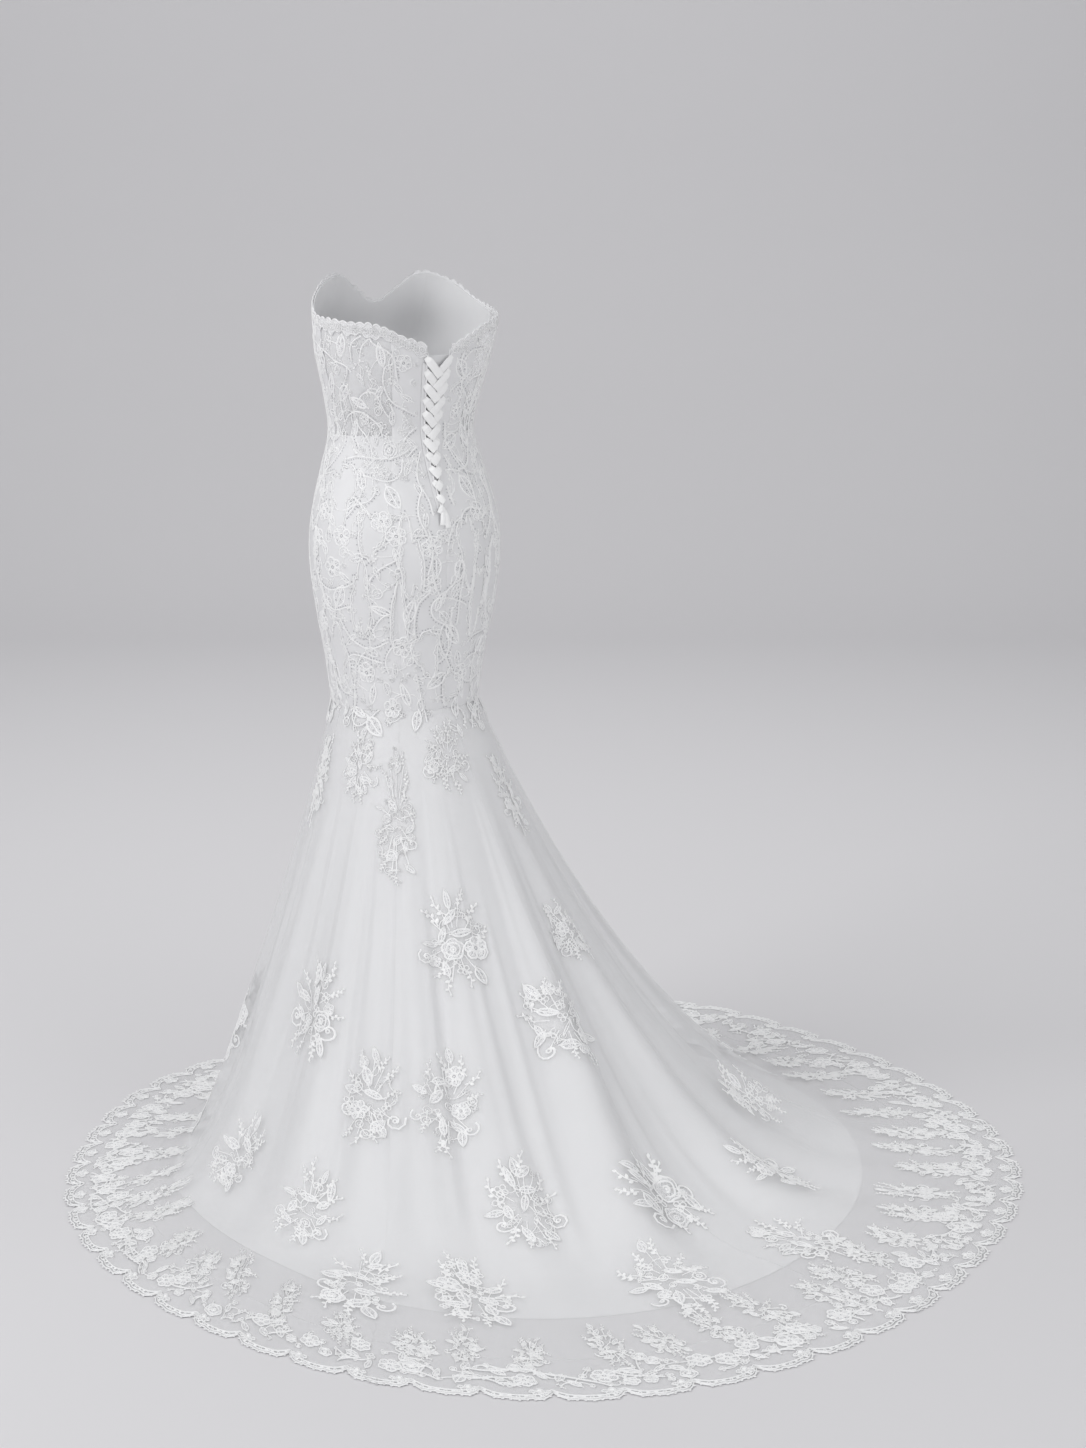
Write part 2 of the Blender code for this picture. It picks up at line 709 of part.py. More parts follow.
def add_border(hold):
    """Lace border round the hem, flat on the floor, with its larger gaps cut through.

    Each scallop has three fine columns: the hem is notched where the first starts, and the first two
    have a gap.
    """
    for number, columns in enumerate(skirt_runs(), start=1):
        grids = []
        first = columns[0] * 2
        for depth in (0.0, LACE_WALL):
            grid = refine_columns(skirt_grid(columns, border_travels, tulle_point, depth), 2)
            for step, hem in enumerate(grid[2]):
                if (first + step) % SCALLOP_COLUMNS == 0:
                    grid[2][step] = hem + (grid[1][step] - hem).normalized() * SCALLOP_DEPTH
            grids.append(pull_in(grid, ["start", "end", "low"]))

        def has_gap(row, column, start=first):
            return row == 0 and (column + start) % SCALLOP_COLUMNS != 2

        add_piece(f"hem_lace_{number}", wall_mesh(*grids, pierced=has_gap), WHITE_LACE, LACE_ROUGHNESS, hold)


def spray_outline(spray):
    """Plan points of a flower spray: petal tips with a notch after each."""
    points = []
    corners = 2 * len(SPRAY_TIPS)
    turn = math.radians(spray.turn)
    for corner in range(corners):
        angle = 2 * math.pi * corner / corners
        reach = SPRAY_NOTCH if corner % 2 else SPRAY_TIPS[corner // 2]
        along = 0.5 * spray.length * reach * math.cos(angle)
        across = 0.5 * spray.width * reach * math.sin(angle)
        points.append((
            along * math.cos(turn) - across * math.sin(turn),
            along * math.sin(turn) + across * math.cos(turn),
        ))
    return points


def spray_frame(spray):
    """Middle of a spray on the tulle, with its directions down the skirt, across it and square to it."""
    tulle = skirt_lines(round(spray.azimuth, 6))[5]
    centre = tulle_point(spray.azimuth, spray.share * tulle, TULLE_WALL)
    down = (tulle_point(spray.azimuth, (spray.share + 0.02) * tulle, TULLE_WALL) - centre).normalized()
    aside = tulle_point(spray.azimuth + 1, spray.share * tulle, TULLE_WALL) - centre
    square = down.cross(aside).normalized()
    if square.z < 0:
        square = -square
    return centre, down, square.cross(down), square


def columns_near(spray, centre):
    """Run of skirt columns that a spray can reach."""
    azimuths = hem_azimuths()
    middle = min(range(SKIRT_COLUMNS), key=lambda column: abs(turn_between(azimuths[column], spray.azimuth)))
    travel = spray.share * skirt_lines(round(spray.azimuth, 6))[5]
    reach = 1
    while reach < SKIRT_COLUMNS // 4:
        edge = azimuths[(middle + reach) % SKIRT_COLUMNS]
        if (tulle_point(edge, travel, TULLE_WALL) - centre).length > SPRAY_REACH:
            break
        reach += 1
    return range(middle - reach, middle + reach + 1)


def add_spray(spray, hold):
    """Flower spray of thick lace: its outline, cut from a layer that follows the tulle's facets."""
    centre, down, across, square = spray_frame(spray)
    columns = columns_near(spray, centre)
    low = TULLE_WALL + LAYER_GAP
    grids = [skirt_grid(columns, tulle_travels, tulle_point, low + wall) for wall in (0.0, APPLIQUE_WALL)]
    piece = add_piece(spray.name, wall_mesh(*grids), WHITE_LACE, LACE_ROUGHNESS, hold)

    cutter_mesh = bmesh.new()
    ring = []
    for along, side in spray_outline(spray):
        place = centre + down * along + across * side - square * SPRAY_CUT_DEPTH
        ring.append(cutter_mesh.verts.new(place))
    raised = bmesh.ops.extrude_face_region(cutter_mesh, geom=[cutter_mesh.faces.new(ring)])
    top = [item for item in raised["geom"] if isinstance(item, bmesh.types.BMVert)]
    bmesh.ops.translate(cutter_mesh, verts=top, vec=square * 2 * SPRAY_CUT_DEPTH)
    bmesh.ops.recalc_face_normals(cutter_mesh, faces=cutter_mesh.faces)
    cutter = add_piece(f"cutter_{spray.name}", cutter_mesh, WHITE_LACE, LACE_ROUGHNESS, hold)
    cutter.hide_render = True
    cutter.display_type = "WIRE"
    outline = piece.modifiers.new("outline", "BOOLEAN")
    outline.operation = "INTERSECT"
    outline.solver = "EXACT"
    outline.object = cutter


def build_gown():
    """Builds every piece under one empty, at the height where the gown is held."""
    hold = bpy.data.objects.new("hold_point", None)
    bpy.context.scene.collection.objects.link(hold)
    hold.location = (0, 0, -HOLD_HEIGHT)
    add_sheath(hold)
    add_modesty_panel(hold)
    add_neck_lace(hold)
    add_plackets(hold)
    add_lacing(hold)
    add_skirt_layer("satin_gore", satin_travels, satin_point, SATIN_WALL, WHITE_SATIN, hold)
    add_skirt_layer("tulle_gore", tulle_travels, tulle_point, TULLE_WALL, WHITE_TULLE, hold)
    add_border(hold)
    for spray in LACE_SPRAYS:
        add_spray(spray, hold)


for old in list(bpy.data.objects):
    bpy.data.objects.remove(old, do_unlink=True)
build_gown()
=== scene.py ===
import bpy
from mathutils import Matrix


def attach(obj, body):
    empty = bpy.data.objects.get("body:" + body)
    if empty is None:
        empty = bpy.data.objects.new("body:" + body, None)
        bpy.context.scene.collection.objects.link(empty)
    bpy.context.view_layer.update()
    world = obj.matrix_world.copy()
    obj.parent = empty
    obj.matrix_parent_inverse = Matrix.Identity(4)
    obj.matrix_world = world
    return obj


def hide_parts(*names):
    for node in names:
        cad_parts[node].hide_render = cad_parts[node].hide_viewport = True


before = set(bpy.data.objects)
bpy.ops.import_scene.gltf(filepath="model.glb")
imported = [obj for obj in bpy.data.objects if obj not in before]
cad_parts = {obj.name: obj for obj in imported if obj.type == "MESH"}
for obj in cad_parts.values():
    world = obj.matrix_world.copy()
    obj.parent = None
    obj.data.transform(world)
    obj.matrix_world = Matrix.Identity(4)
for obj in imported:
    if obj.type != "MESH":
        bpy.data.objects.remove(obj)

"""Looks of a strapless mermaid gown: satin sheath, sheer tulle train and raised corded lace.

Lengths are metres. Heights are above the floor that the train lies on; HOLD lowers every finished
piece to the frame's origin. Azimuths are degrees round the body line: 0 front, 90 left, 180 back.
"""

import logging
import math
from dataclasses import dataclass, field
from enum import Enum
from typing import Callable, Sequence

import bpy
import numpy as np
from mathutils import Vector

LOG = logging.getLogger("mermaid_gown")
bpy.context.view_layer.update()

HOLD = 1.190
KNEE = 0.710
SEAM_GAP = 0.00006
PANEL_WALL = 0.0020
NET_WALL = 0.0010
SATIN_WALL = 0.0012
TULLE_WALL = 0.0010
LAYER_GAP = 0.0004
BORDER_WIDTH = 0.130
SCALLOPS = 52
SKIRT_COLUMNS = 78
SKIRT_PANELS = 6
LACE_SEED = 11
FILL = -0.4


class Layer(Enum):
    """Skirt layer."""

    SATIN = "satin"
    TULLE = "tulle"


# Small numeric helpers


def smooth_step(low: float, high: float, at: np.ndarray) -> np.ndarray:
    """Rise from 0 at low to 1 at high.

    Args:
        low: Where the rise starts.
        high: Where the rise ends.
        at: Places to read.

    Returns:
        Values from 0 to 1.
    """
    t = np.clip((at - low) / (high - low), 0.0, 1.0)
    return t * t * (3 - 2 * t)


def turn_between(first: np.ndarray, second: float) -> np.ndarray:
    """Signed angle in degrees from the second azimuth to the first."""
    return (first - second + 180) % 360 - 180


def smooth_curve(keys: Sequence[float], values: Sequence[float], at: np.ndarray, period: float = 0) -> np.ndarray:
    """Read a smooth curve through a table's points.

    Args:
        keys: Places of the points, rising.
        values: Values at the points.
        at: Places to read.
        period: Length after which the curve repeats, or 0.

    Returns:
        The curve's values.
    """
    keys = np.asarray(keys, float)
    values = np.asarray(values, float)
    at = np.asarray(at, float)
    if period:
        at = at % period
        keys = np.concatenate([keys[-2:] - period, keys, keys[:2] + period])
        values = np.concatenate([values[-2:], values, values[:2]])
    at = np.clip(at, keys[0], keys[-1])
    low = np.clip(np.searchsorted(keys, at, side="right") - 1, 0, len(keys) - 2)
    high = low + 1
    before = np.maximum(low - 1, 0)
    after = np.minimum(high + 1, len(keys) - 1)
    span = keys[high] - keys[low]
    slope_low = (values[high] - values[before]) / (keys[high] - keys[before]) * span
    slope_high = (values[after] - values[low]) / (keys[after] - keys[low]) * span
    t = (at - keys[low]) / span
    return (
        (2 * t**3 - 3 * t**2 + 1) * values[low]
        + (t**3 - 2 * t**2 + t) * slope_low
        + (3 * t**2 - 2 * t**3) * values[high]
        + (t**3 - t**2) * slope_high
    )


def unit(vectors: np.ndarray) -> np.ndarray:
    """Vectors of length one."""
    return vectors / np.maximum(np.linalg.norm(vectors, axis=-1, keepdims=True), 1e-12)


# Forms: where the cloth lies


@dataclass(frozen=True)
class BodyForm:
    """Form of the sheath, from sections at named heights."""

    heights: tuple = (0.710, 0.780, 0.860, 0.940, 1.000, 1.065, 1.129, 1.190, 1.262, 1.320, 1.380)
    half_widths: tuple = (0.113, 0.124, 0.142, 0.153, 0.149, 0.133, 0.116, 0.126, 0.145, 0.150, 0.150)
    front_depths: tuple = (0.104, 0.105, 0.107, 0.109, 0.106, 0.096, 0.086, 0.092, 0.100, 0.094, 0.084)
    back_depths: tuple = (0.110, 0.114, 0.120, 0.125, 0.118, 0.098, 0.086, 0.092, 0.100, 0.102, 0.102)
    centres: tuple = (0.014, 0.016, 0.019, 0.020, 0.019, 0.016, 0.014, 0.020, 0.028, 0.032, 0.034)
    neck_azimuths: tuple = (0, 14, 28, 48, 70, 95, 125, 145, 160, 180, 200, 215, 235, 265, 290, 312, 332, 346)
    neck_heights: tuple = (
        1.318, 1.340, 1.362, 1.350, 1.322, 1.304, 1.298, 1.290, 1.273,
        1.258, 1.273, 1.290, 1.298, 1.304, 1.322, 1.350, 1.362, 1.340,
    )
    bust_height: float = 1.262
    cup_azimuth: float = 27.0
    cup_spread: float = 20.0
    cup_rise: float = 0.055
    cup_depth: float = 0.026
    lacing_foot: float = 1.020
    lacing_head: float = 1.258
    lacing_width: float = 0.040

    def sections(self, height: np.ndarray) -> tuple:
        """Half width, front depth, back depth and centre at some heights."""
        columns = (self.half_widths, self.front_depths, self.back_depths, self.centres)
        return tuple(smooth_curve(self.heights, column, height) for column in columns)

    def point(self, azimuth: np.ndarray, height: np.ndarray, out: np.ndarray) -> np.ndarray:
        """Points on the sheath's inner face, moved out.

        Args:
            azimuth: Degrees round the body line.
            height: Heights above the floor.
            out: Distances out from the inner face.

        Returns:
            Points, one row each.
        """
        azimuth, height, out = np.broadcast_arrays(azimuth, height, out)
        half_width, front, back, centre = self.sections(height)
        angle = np.radians(azimuth)
        depth = np.where(np.cos(angle) > 0, front, back)
        normal = unit(np.stack([np.sin(angle) / half_width, -np.cos(angle) / depth, np.zeros_like(depth)], -1))
        place = np.stack([half_width * np.sin(angle), centre - depth * np.cos(angle), height], -1)
        rise = np.exp(-(((height - self.bust_height) / self.cup_rise) ** 2))
        cups = np.exp(-((turn_between(azimuth, self.cup_azimuth) / self.cup_spread) ** 2))
        cups = cups + np.exp(-((turn_between(azimuth, -self.cup_azimuth) / self.cup_spread) ** 2))
        return place + normal * (out + self.cup_depth * rise * cups)[..., None]

    def neck(self, azimuth: np.ndarray) -> np.ndarray:
        """Height of the cut neckline."""
        return smooth_curve(self.neck_azimuths, self.neck_heights, azimuth, 360)

    def lacing_half(self, height: np.ndarray) -> np.ndarray:
        """Half the open width of the lacing."""
        share = (height - self.lacing_foot) / (self.lacing_head - self.lacing_foot)
        return 0.5 * self.lacing_width * np.maximum(share, 0.0)

    def azimuth_off_back(self, across: np.ndarray, height: np.ndarray) -> np.ndarray:
        """Azimuth of points on the back, at distances to the left of its middle."""
        half_width = self.sections(np.asarray(height, float))[0]
        return 180 - np.degrees(np.arcsin(np.asarray(across) / half_width))


@dataclass(frozen=True)
class SkirtForm:
    """Form of the skirt's layers, from the knee seam to the hem on the floor."""

    body: BodyForm
    azimuths: tuple = (0, 30, 54, 70, 90, 110, 130, 150, 165, 180, 205, 225, 250, 270, 292, 315, 340)
    hems: tuple = (
        0.485, 0.484, 0.494, 0.523, 0.594, 0.698, 0.838, 1.006, 1.086,
        1.084, 1.025, 0.988, 0.907, 0.855, 0.822, 0.655, 0.522,
    )
    floor_lines: tuple = (
        0.325, 0.330, 0.334, 0.345, 0.400, 0.465, 0.560, 0.680, 0.740,
        0.760, 0.745, 0.735, 0.730, 0.700, 0.620, 0.470, 0.350,
    )
    satin_hems: tuple = (
        0.335, 0.340, 0.344, 0.355, 0.415, 0.485, 0.590, 0.740, 0.820,
        0.840, 0.790, 0.740, 0.680, 0.620, 0.540, 0.430, 0.350,
    )
    powers: tuple = (
        1.50, 1.50, 1.52, 1.56, 1.65, 1.75, 1.85, 1.92, 1.96,
        1.98, 2.00, 2.00, 2.00, 1.95, 1.85, 1.65, 1.52,
    )
    satin_on_floor: float = 0.030
    satin_fold_share: float = 0.8
    air: float = 0.0012
    # Folds: azimuth at the knee, azimuth on the floor, height, half width in degrees
    folds: tuple = (
        (8, 6, 0.012, 14), (40, 38, 0.012, 13), (66, 66, 0.020, 11), (87, 88, 0.015, 10),
        (102, 101, 0.020, 9), (128, 128, 0.024, 10), (141, 142, 0.014, 7), (152, 153, 0.026, 8),
        (165, 165, 0.014, 7), (193, 180, 0.034, 8), (208, 206, 0.030, 8), (221, 220, 0.015, 8),
        (233, 234, 0.024, 9), (247, 250, 0.018, 9), (262, 265, 0.024, 10), (284, 287, 0.016, 11),
        (306, 308, 0.014, 12), (333, 334, 0.012, 13),
    )
    # Fine creases: azimuth at the knee, azimuth at the hem, height, half width, start and end of its run
    creases: tuple = (
        (112, 114, 0.005, 2.6, 0.02, 0.55), (118, 121, 0.004, 2.2, 0.20, 0.85), (124, 123, 0.005, 2.0, 0.04, 0.70),
        (134, 135, 0.006, 2.4, 0.10, 0.95), (139, 138, 0.004, 1.8, 0.02, 0.50), (147, 147, 0.006, 2.2, 0.03, 0.80),
        (156, 158, 0.005, 2.0, 0.12, 0.90), (161, 160, 0.004, 1.8, 0.02, 0.62), (170, 169, 0.006, 2.4, 0.05, 0.85),
        (178, 172, 0.005, 2.0, 0.15, 0.95), (187, 176, 0.004, 1.8, 0.02, 0.55), (200, 190, 0.006, 2.4, 0.06, 0.90),
        (204, 197, 0.004, 1.8, 0.25, 0.95), (214, 212, 0.006, 2.4, 0.04, 0.75), (227, 226, 0.005, 2.2, 0.10, 0.95),
        (238, 241, 0.006, 2.4, 0.05, 0.85), (254, 257, 0.005, 2.2, 0.10, 0.90), (270, 274, 0.005, 2.4, 0.06, 0.80),
        (292, 296, 0.005, 2.6, 0.10, 0.90), (318, 320, 0.004, 2.6, 0.06, 0.80), (346, 348, 0.004, 3.0, 0.08, 0.85),
        (22, 24, 0.004, 3.0, 0.06, 0.85), (50, 52, 0.004, 2.8, 0.10, 0.90), (78, 78, 0.005, 2.6, 0.05, 0.80),
        (95, 95, 0.005, 2.4, 0.12, 0.90),
    )

    def plan(self, azimuth: np.ndarray) -> dict:
        """Knee and hem points, the way between them, and the shares of it where zones end.

        Args:
            azimuth: Degrees round the body line.

        Returns:
            Arrays by name.
        """
        hem_radius = smooth_curve(self.azimuths, self.hems, azimuth, 360)
        floor_line = smooth_curve(self.azimuths, self.floor_lines, azimuth, 360)
        satin = smooth_curve(self.azimuths, self.satin_hems, azimuth, 360)
        power = smooth_curve(self.azimuths, self.powers, azimuth, 360)
        angle = np.radians(azimuth)
        start = self.body.point(azimuth, np.full_like(angle, KNEE), 0.0)
        start[..., 2] = 0.0
        hem = np.stack([hem_radius * np.sin(angle), -hem_radius * np.cos(angle), np.zeros_like(angle)], -1)
        reach = np.linalg.norm(hem - start, axis=-1)
        inside = hem_radius - reach
        return {
            "start": start,
            "hem": hem,
            "reach": reach,
            "floor_line": (floor_line - inside) / reach,
            "satin": (satin - inside) / reach,
            "tulle": 1 - BORDER_WIDTH / reach,
            "power": power,
        }

    def fold(self, azimuth: np.ndarray, travel: np.ndarray, floor_line: np.ndarray, end: np.ndarray) -> np.ndarray:
        """Height of the main folds and the fine creases over the plain skirt."""
        run = travel / floor_line
        drift = smooth_step(0.0, 1.0, run)
        rise = smooth_step(0.02, 0.55, run)
        fall = 1 - smooth_step(0.0, 1.0, (travel - 0.72 * floor_line) / (end - 0.72 * floor_line))
        total = np.zeros_like(travel)
        for knee_azimuth, floor_azimuth, height, half_width in self.folds:
            middle = knee_azimuth + ((floor_azimuth - knee_azimuth + 180) % 360 - 180) * drift
            off = np.clip(((azimuth - middle + 180) % 360 - 180) / half_width, -1, 1)
            total += height * np.cos(0.5 * np.pi * off) ** 2
        total *= rise * fall
        for knee_azimuth, hem_azimuth, height, half_width, begin, finish in self.creases:
            middle = knee_azimuth + (hem_azimuth - knee_azimuth) * drift
            off = np.clip(((azimuth - middle + 180) % 360 - 180) / half_width, -1, 1)
            length = smooth_step(begin, begin + 0.18, run) * (1 - smooth_step(finish - 0.25, finish, run))
            total += height * length * np.cos(0.5 * np.pi * off) ** 2 * np.clip(run * 2, 0.15, 1)
        return total

    def point(self, layer: Layer, azimuth: np.ndarray, travel: np.ndarray, out: np.ndarray) -> np.ndarray:
        """Points on a layer, moved out from its inner face.

        Args:
            layer: Which layer.
            azimuth: Degrees round the body line.
            travel: Shares of the way from the knee seam to the hem.
            out: Distances out from the layer's inner face.

        Returns:
            Points, one row each.
        """
        azimuth, travel, out = np.broadcast_arrays(np.asarray(azimuth, float), travel, out)
        plan = self.plan(azimuth)
        reach = plan["reach"]
        floor_line = plan["floor_line"]
        end = plan["tulle"]
        if layer is Layer.SATIN:
            floor_line = np.minimum(floor_line, plan["satin"] - self.satin_on_floor / reach)
            end = plan["satin"]
        left = np.maximum(1 - travel / floor_line, 0.0)
        height = KNEE * left ** plan["power"]
        steep = KNEE * plan["power"] * left ** (plan["power"] - 1) / (floor_line * reach)
        way = unit(plan["hem"] - plan["start"])
        lift = np.where(travel > 0, 1.0, 0.0)
        normal = unit(way * steep[..., None] + np.stack([np.zeros_like(lift), np.zeros_like(lift), lift], -1))
        place = plan["start"] + (plan["hem"] - plan["start"]) * travel[..., None]
        place[..., 2] = height
        fold = self.fold(azimuth, travel, floor_line, end)
        if layer is Layer.SATIN:
            rise = self.satin_fold_share * fold
        else:
            over_satin = SATIN_WALL + LAYER_GAP + self.air * np.sin(np.pi * np.minimum(travel / floor_line, 1.0))
            fade = np.clip((travel - plan["satin"]) / (plan["tulle"] - plan["satin"]), 0, 1)
            rise = fold + over_satin * (1 - fade * fade * (3 - 2 * fade))
        return place + normal * (rise + out)[..., None]

    def hem_table(self) -> tuple:
        """Azimuths round the hem and the length of hem up to each."""
        azimuths = np.linspace(0, 360, 2881)
        hem = self.plan(azimuths)["hem"]
        steps = np.linalg.norm(np.diff(hem, axis=0), axis=-1)
        return azimuths, np.concatenate([[0.0], np.cumsum(steps)])

    def hem_azimuth(self, share: np.ndarray) -> np.ndarray:
        """Azimuth at a share of the hem's length, which may pass 1."""
        azimuths, lengths = self.hem_table()
        turns = np.floor(share)
        return np.interp((share - turns) * lengths[-1], lengths, azimuths) + 360 * turns

    def hem_length(self) -> float:
        """Length of the hem."""
        return float(self.hem_table()[1][-1])


BODY = BodyForm()
SKIRT = SkirtForm(BODY)


# Meshes


def make_piece(name: str, points: np.ndarray, quads: np.ndarray, tris: np.ndarray, uv: np.ndarray) -> bpy.types.Object:
    """Make a mesh object from arrays, lowered from the floor's height to the frame's.

    Args:
        name: The piece's name.
        points: Points, heights above the floor.
        quads: Four-sided faces.
        tris: Three-sided faces.
        uv: One pair for each point, in metres of cloth.

    Returns:
        The object.
    """
    mesh = bpy.data.meshes.new(name)
    quads = np.asarray(quads, np.int32).reshape(-1, 4)
    tris = np.asarray(tris, np.int32).reshape(-1, 3)
    corners = np.concatenate([quads.ravel(), tris.ravel()])
    totals = np.concatenate([np.full(len(quads), 4), np.full(len(tris), 3)]).astype(np.int32)
    starts = np.concatenate([[0], np.cumsum(totals)[:-1]]).astype(np.int32)
    mesh.vertices.add(len(points))
    mesh.vertices.foreach_set("co", (points - np.array([0, 0, HOLD])).astype(np.float32).ravel())
    mesh.loops.add(len(corners))
    mesh.loops.foreach_set("vertex_index", corners)
    mesh.polygons.add(len(totals))
    mesh.polygons.foreach_set("loop_start", starts)
    mesh.polygons.foreach_set("loop_total", totals)
    layer = mesh.uv_layers.new(name="cloth")
    layer.data.foreach_set("uv", uv[corners].astype(np.float32).ravel())
    mesh.update(calc_edges=True)
    mesh.validate()
    mesh.polygons.foreach_set("use_smooth", np.ones(len(mesh.polygons), bool))
    piece = bpy.data.objects.new(name, mesh)
    bpy.context.scene.collection.objects.link(piece)
    return piece


def shell(name: str, inner: np.ndarray, outer: np.ndarray, uv: np.ndarray) -> bpy.types.Object:
    """Closed thin shell of cloth between two grids of points.

    Args:
        name: The piece's name.
        inner: Points of the inner face, rows by columns.
        outer: Points of the outer face.
        uv: Places in the cloth in metres, rows by columns.

    Returns:
        The object.
    """
    rows, columns = inner.shape[:2]
    count = rows * columns
    index = np.arange(count).reshape(rows, columns)
    a, b = index[:-1, :-1], index[:-1, 1:]
    c, d = index[1:, 1:], index[1:, :-1]
    first = np.stack([a, b, c, d], -1).reshape(-1, 4)
    rim = np.concatenate([index[0, :], index[1:, -1], index[-1, -2::-1], index[-2:0:-1, 0]])
    after = np.roll(rim, -1)
    sides = np.stack([rim, rim + count, after + count, after], -1)
    outer_faces = first + count
    inner_faces = first[:, ::-1]
    points = np.concatenate([inner.reshape(-1, 3), outer.reshape(-1, 3)])
    middle = outer[rows // 2, columns // 2] - inner[rows // 2, columns // 2]
    p = outer[rows // 2, columns // 2]
    along = outer[rows // 2, columns // 2 + 1] - p
    up = outer[rows // 2 + 1, columns // 2] - p
    quads = np.concatenate([outer_faces, inner_faces, sides[:, ::-1]])
    if np.dot(np.cross(along, up), middle) < 0:
        quads = quads[:, ::-1]
    flat = uv.reshape(-1, 2)
    piece = make_piece(name, points, quads, np.zeros((0, 3)), np.concatenate([flat, flat]))
    mesh = piece.data
    ends = np.empty(2 * len(mesh.edges), np.int64)
    mesh.edges.foreach_get("vertices", ends)
    ends = np.sort(ends.reshape(-1, 2), axis=1)
    turned = np.sort(np.concatenate([np.stack([rim, after], -1), np.stack([rim, after], -1) + count]), axis=1)
    sharp = np.isin(ends[:, 0] * 2 * count + ends[:, 1], turned[:, 0] * 2 * count + turned[:, 1])
    mesh.attributes.new("sharp_edge", "BOOLEAN", "EDGE").data.foreach_set("value", sharp)
    return piece


def pull_in(grid: np.ndarray, start: bool, end: bool, low: bool, high: bool) -> np.ndarray:
    """Move the named edges of a grid of points in by half a seam gap."""
    half = 0.5 * SEAM_GAP
    grid = grid.copy()
    if start:
        grid[:, 0] += unit(grid[:, 1] - grid[:, 0]) * half
    if end:
        grid[:, -1] += unit(grid[:, -2] - grid[:, -1]) * half
    if low:
        grid[0] += unit(grid[1] - grid[0]) * half
    if high:
        grid[-1] += unit(grid[-2] - grid[-1]) * half
    return grid


def cloth_uv(grid: np.ndarray) -> np.ndarray:
    """Place of each point of a grid in its cloth, in metres across and along."""
    across = np.linalg.norm(np.diff(grid, axis=1), axis=-1)
    along = np.linalg.norm(np.diff(grid, axis=0), axis=-1)
    u = np.concatenate([np.zeros((grid.shape[0], 1)), np.cumsum(across, axis=1)], axis=1)
    u -= u[:, grid.shape[1] // 2][:, None]
    v = np.concatenate([np.zeros((1, grid.shape[1])), np.cumsum(along, axis=0)], axis=0)
    return np.stack([u, v], -1)


def flat_size(grid: np.ndarray) -> tuple:
    """Cut size of a grid of points: its widest row and longest column, and its area."""
    uv = cloth_uv(grid)
    width = float((uv[:, -1, 0] - uv[:, 0, 0]).max())
    length = float(uv[-1, :, 1].max())
    a, b = grid[:-1, :-1], grid[:-1, 1:]
    c, d = grid[1:, 1:], grid[1:, :-1]
    area = 0.5 * np.linalg.norm(np.cross(b - a, c - a), axis=-1).sum()
    area += 0.5 * np.linalg.norm(np.cross(c - a, d - a), axis=-1).sum()
    return width, length, float(min(area, width * length))


# Lace: drawn flat, then laid on the cloth


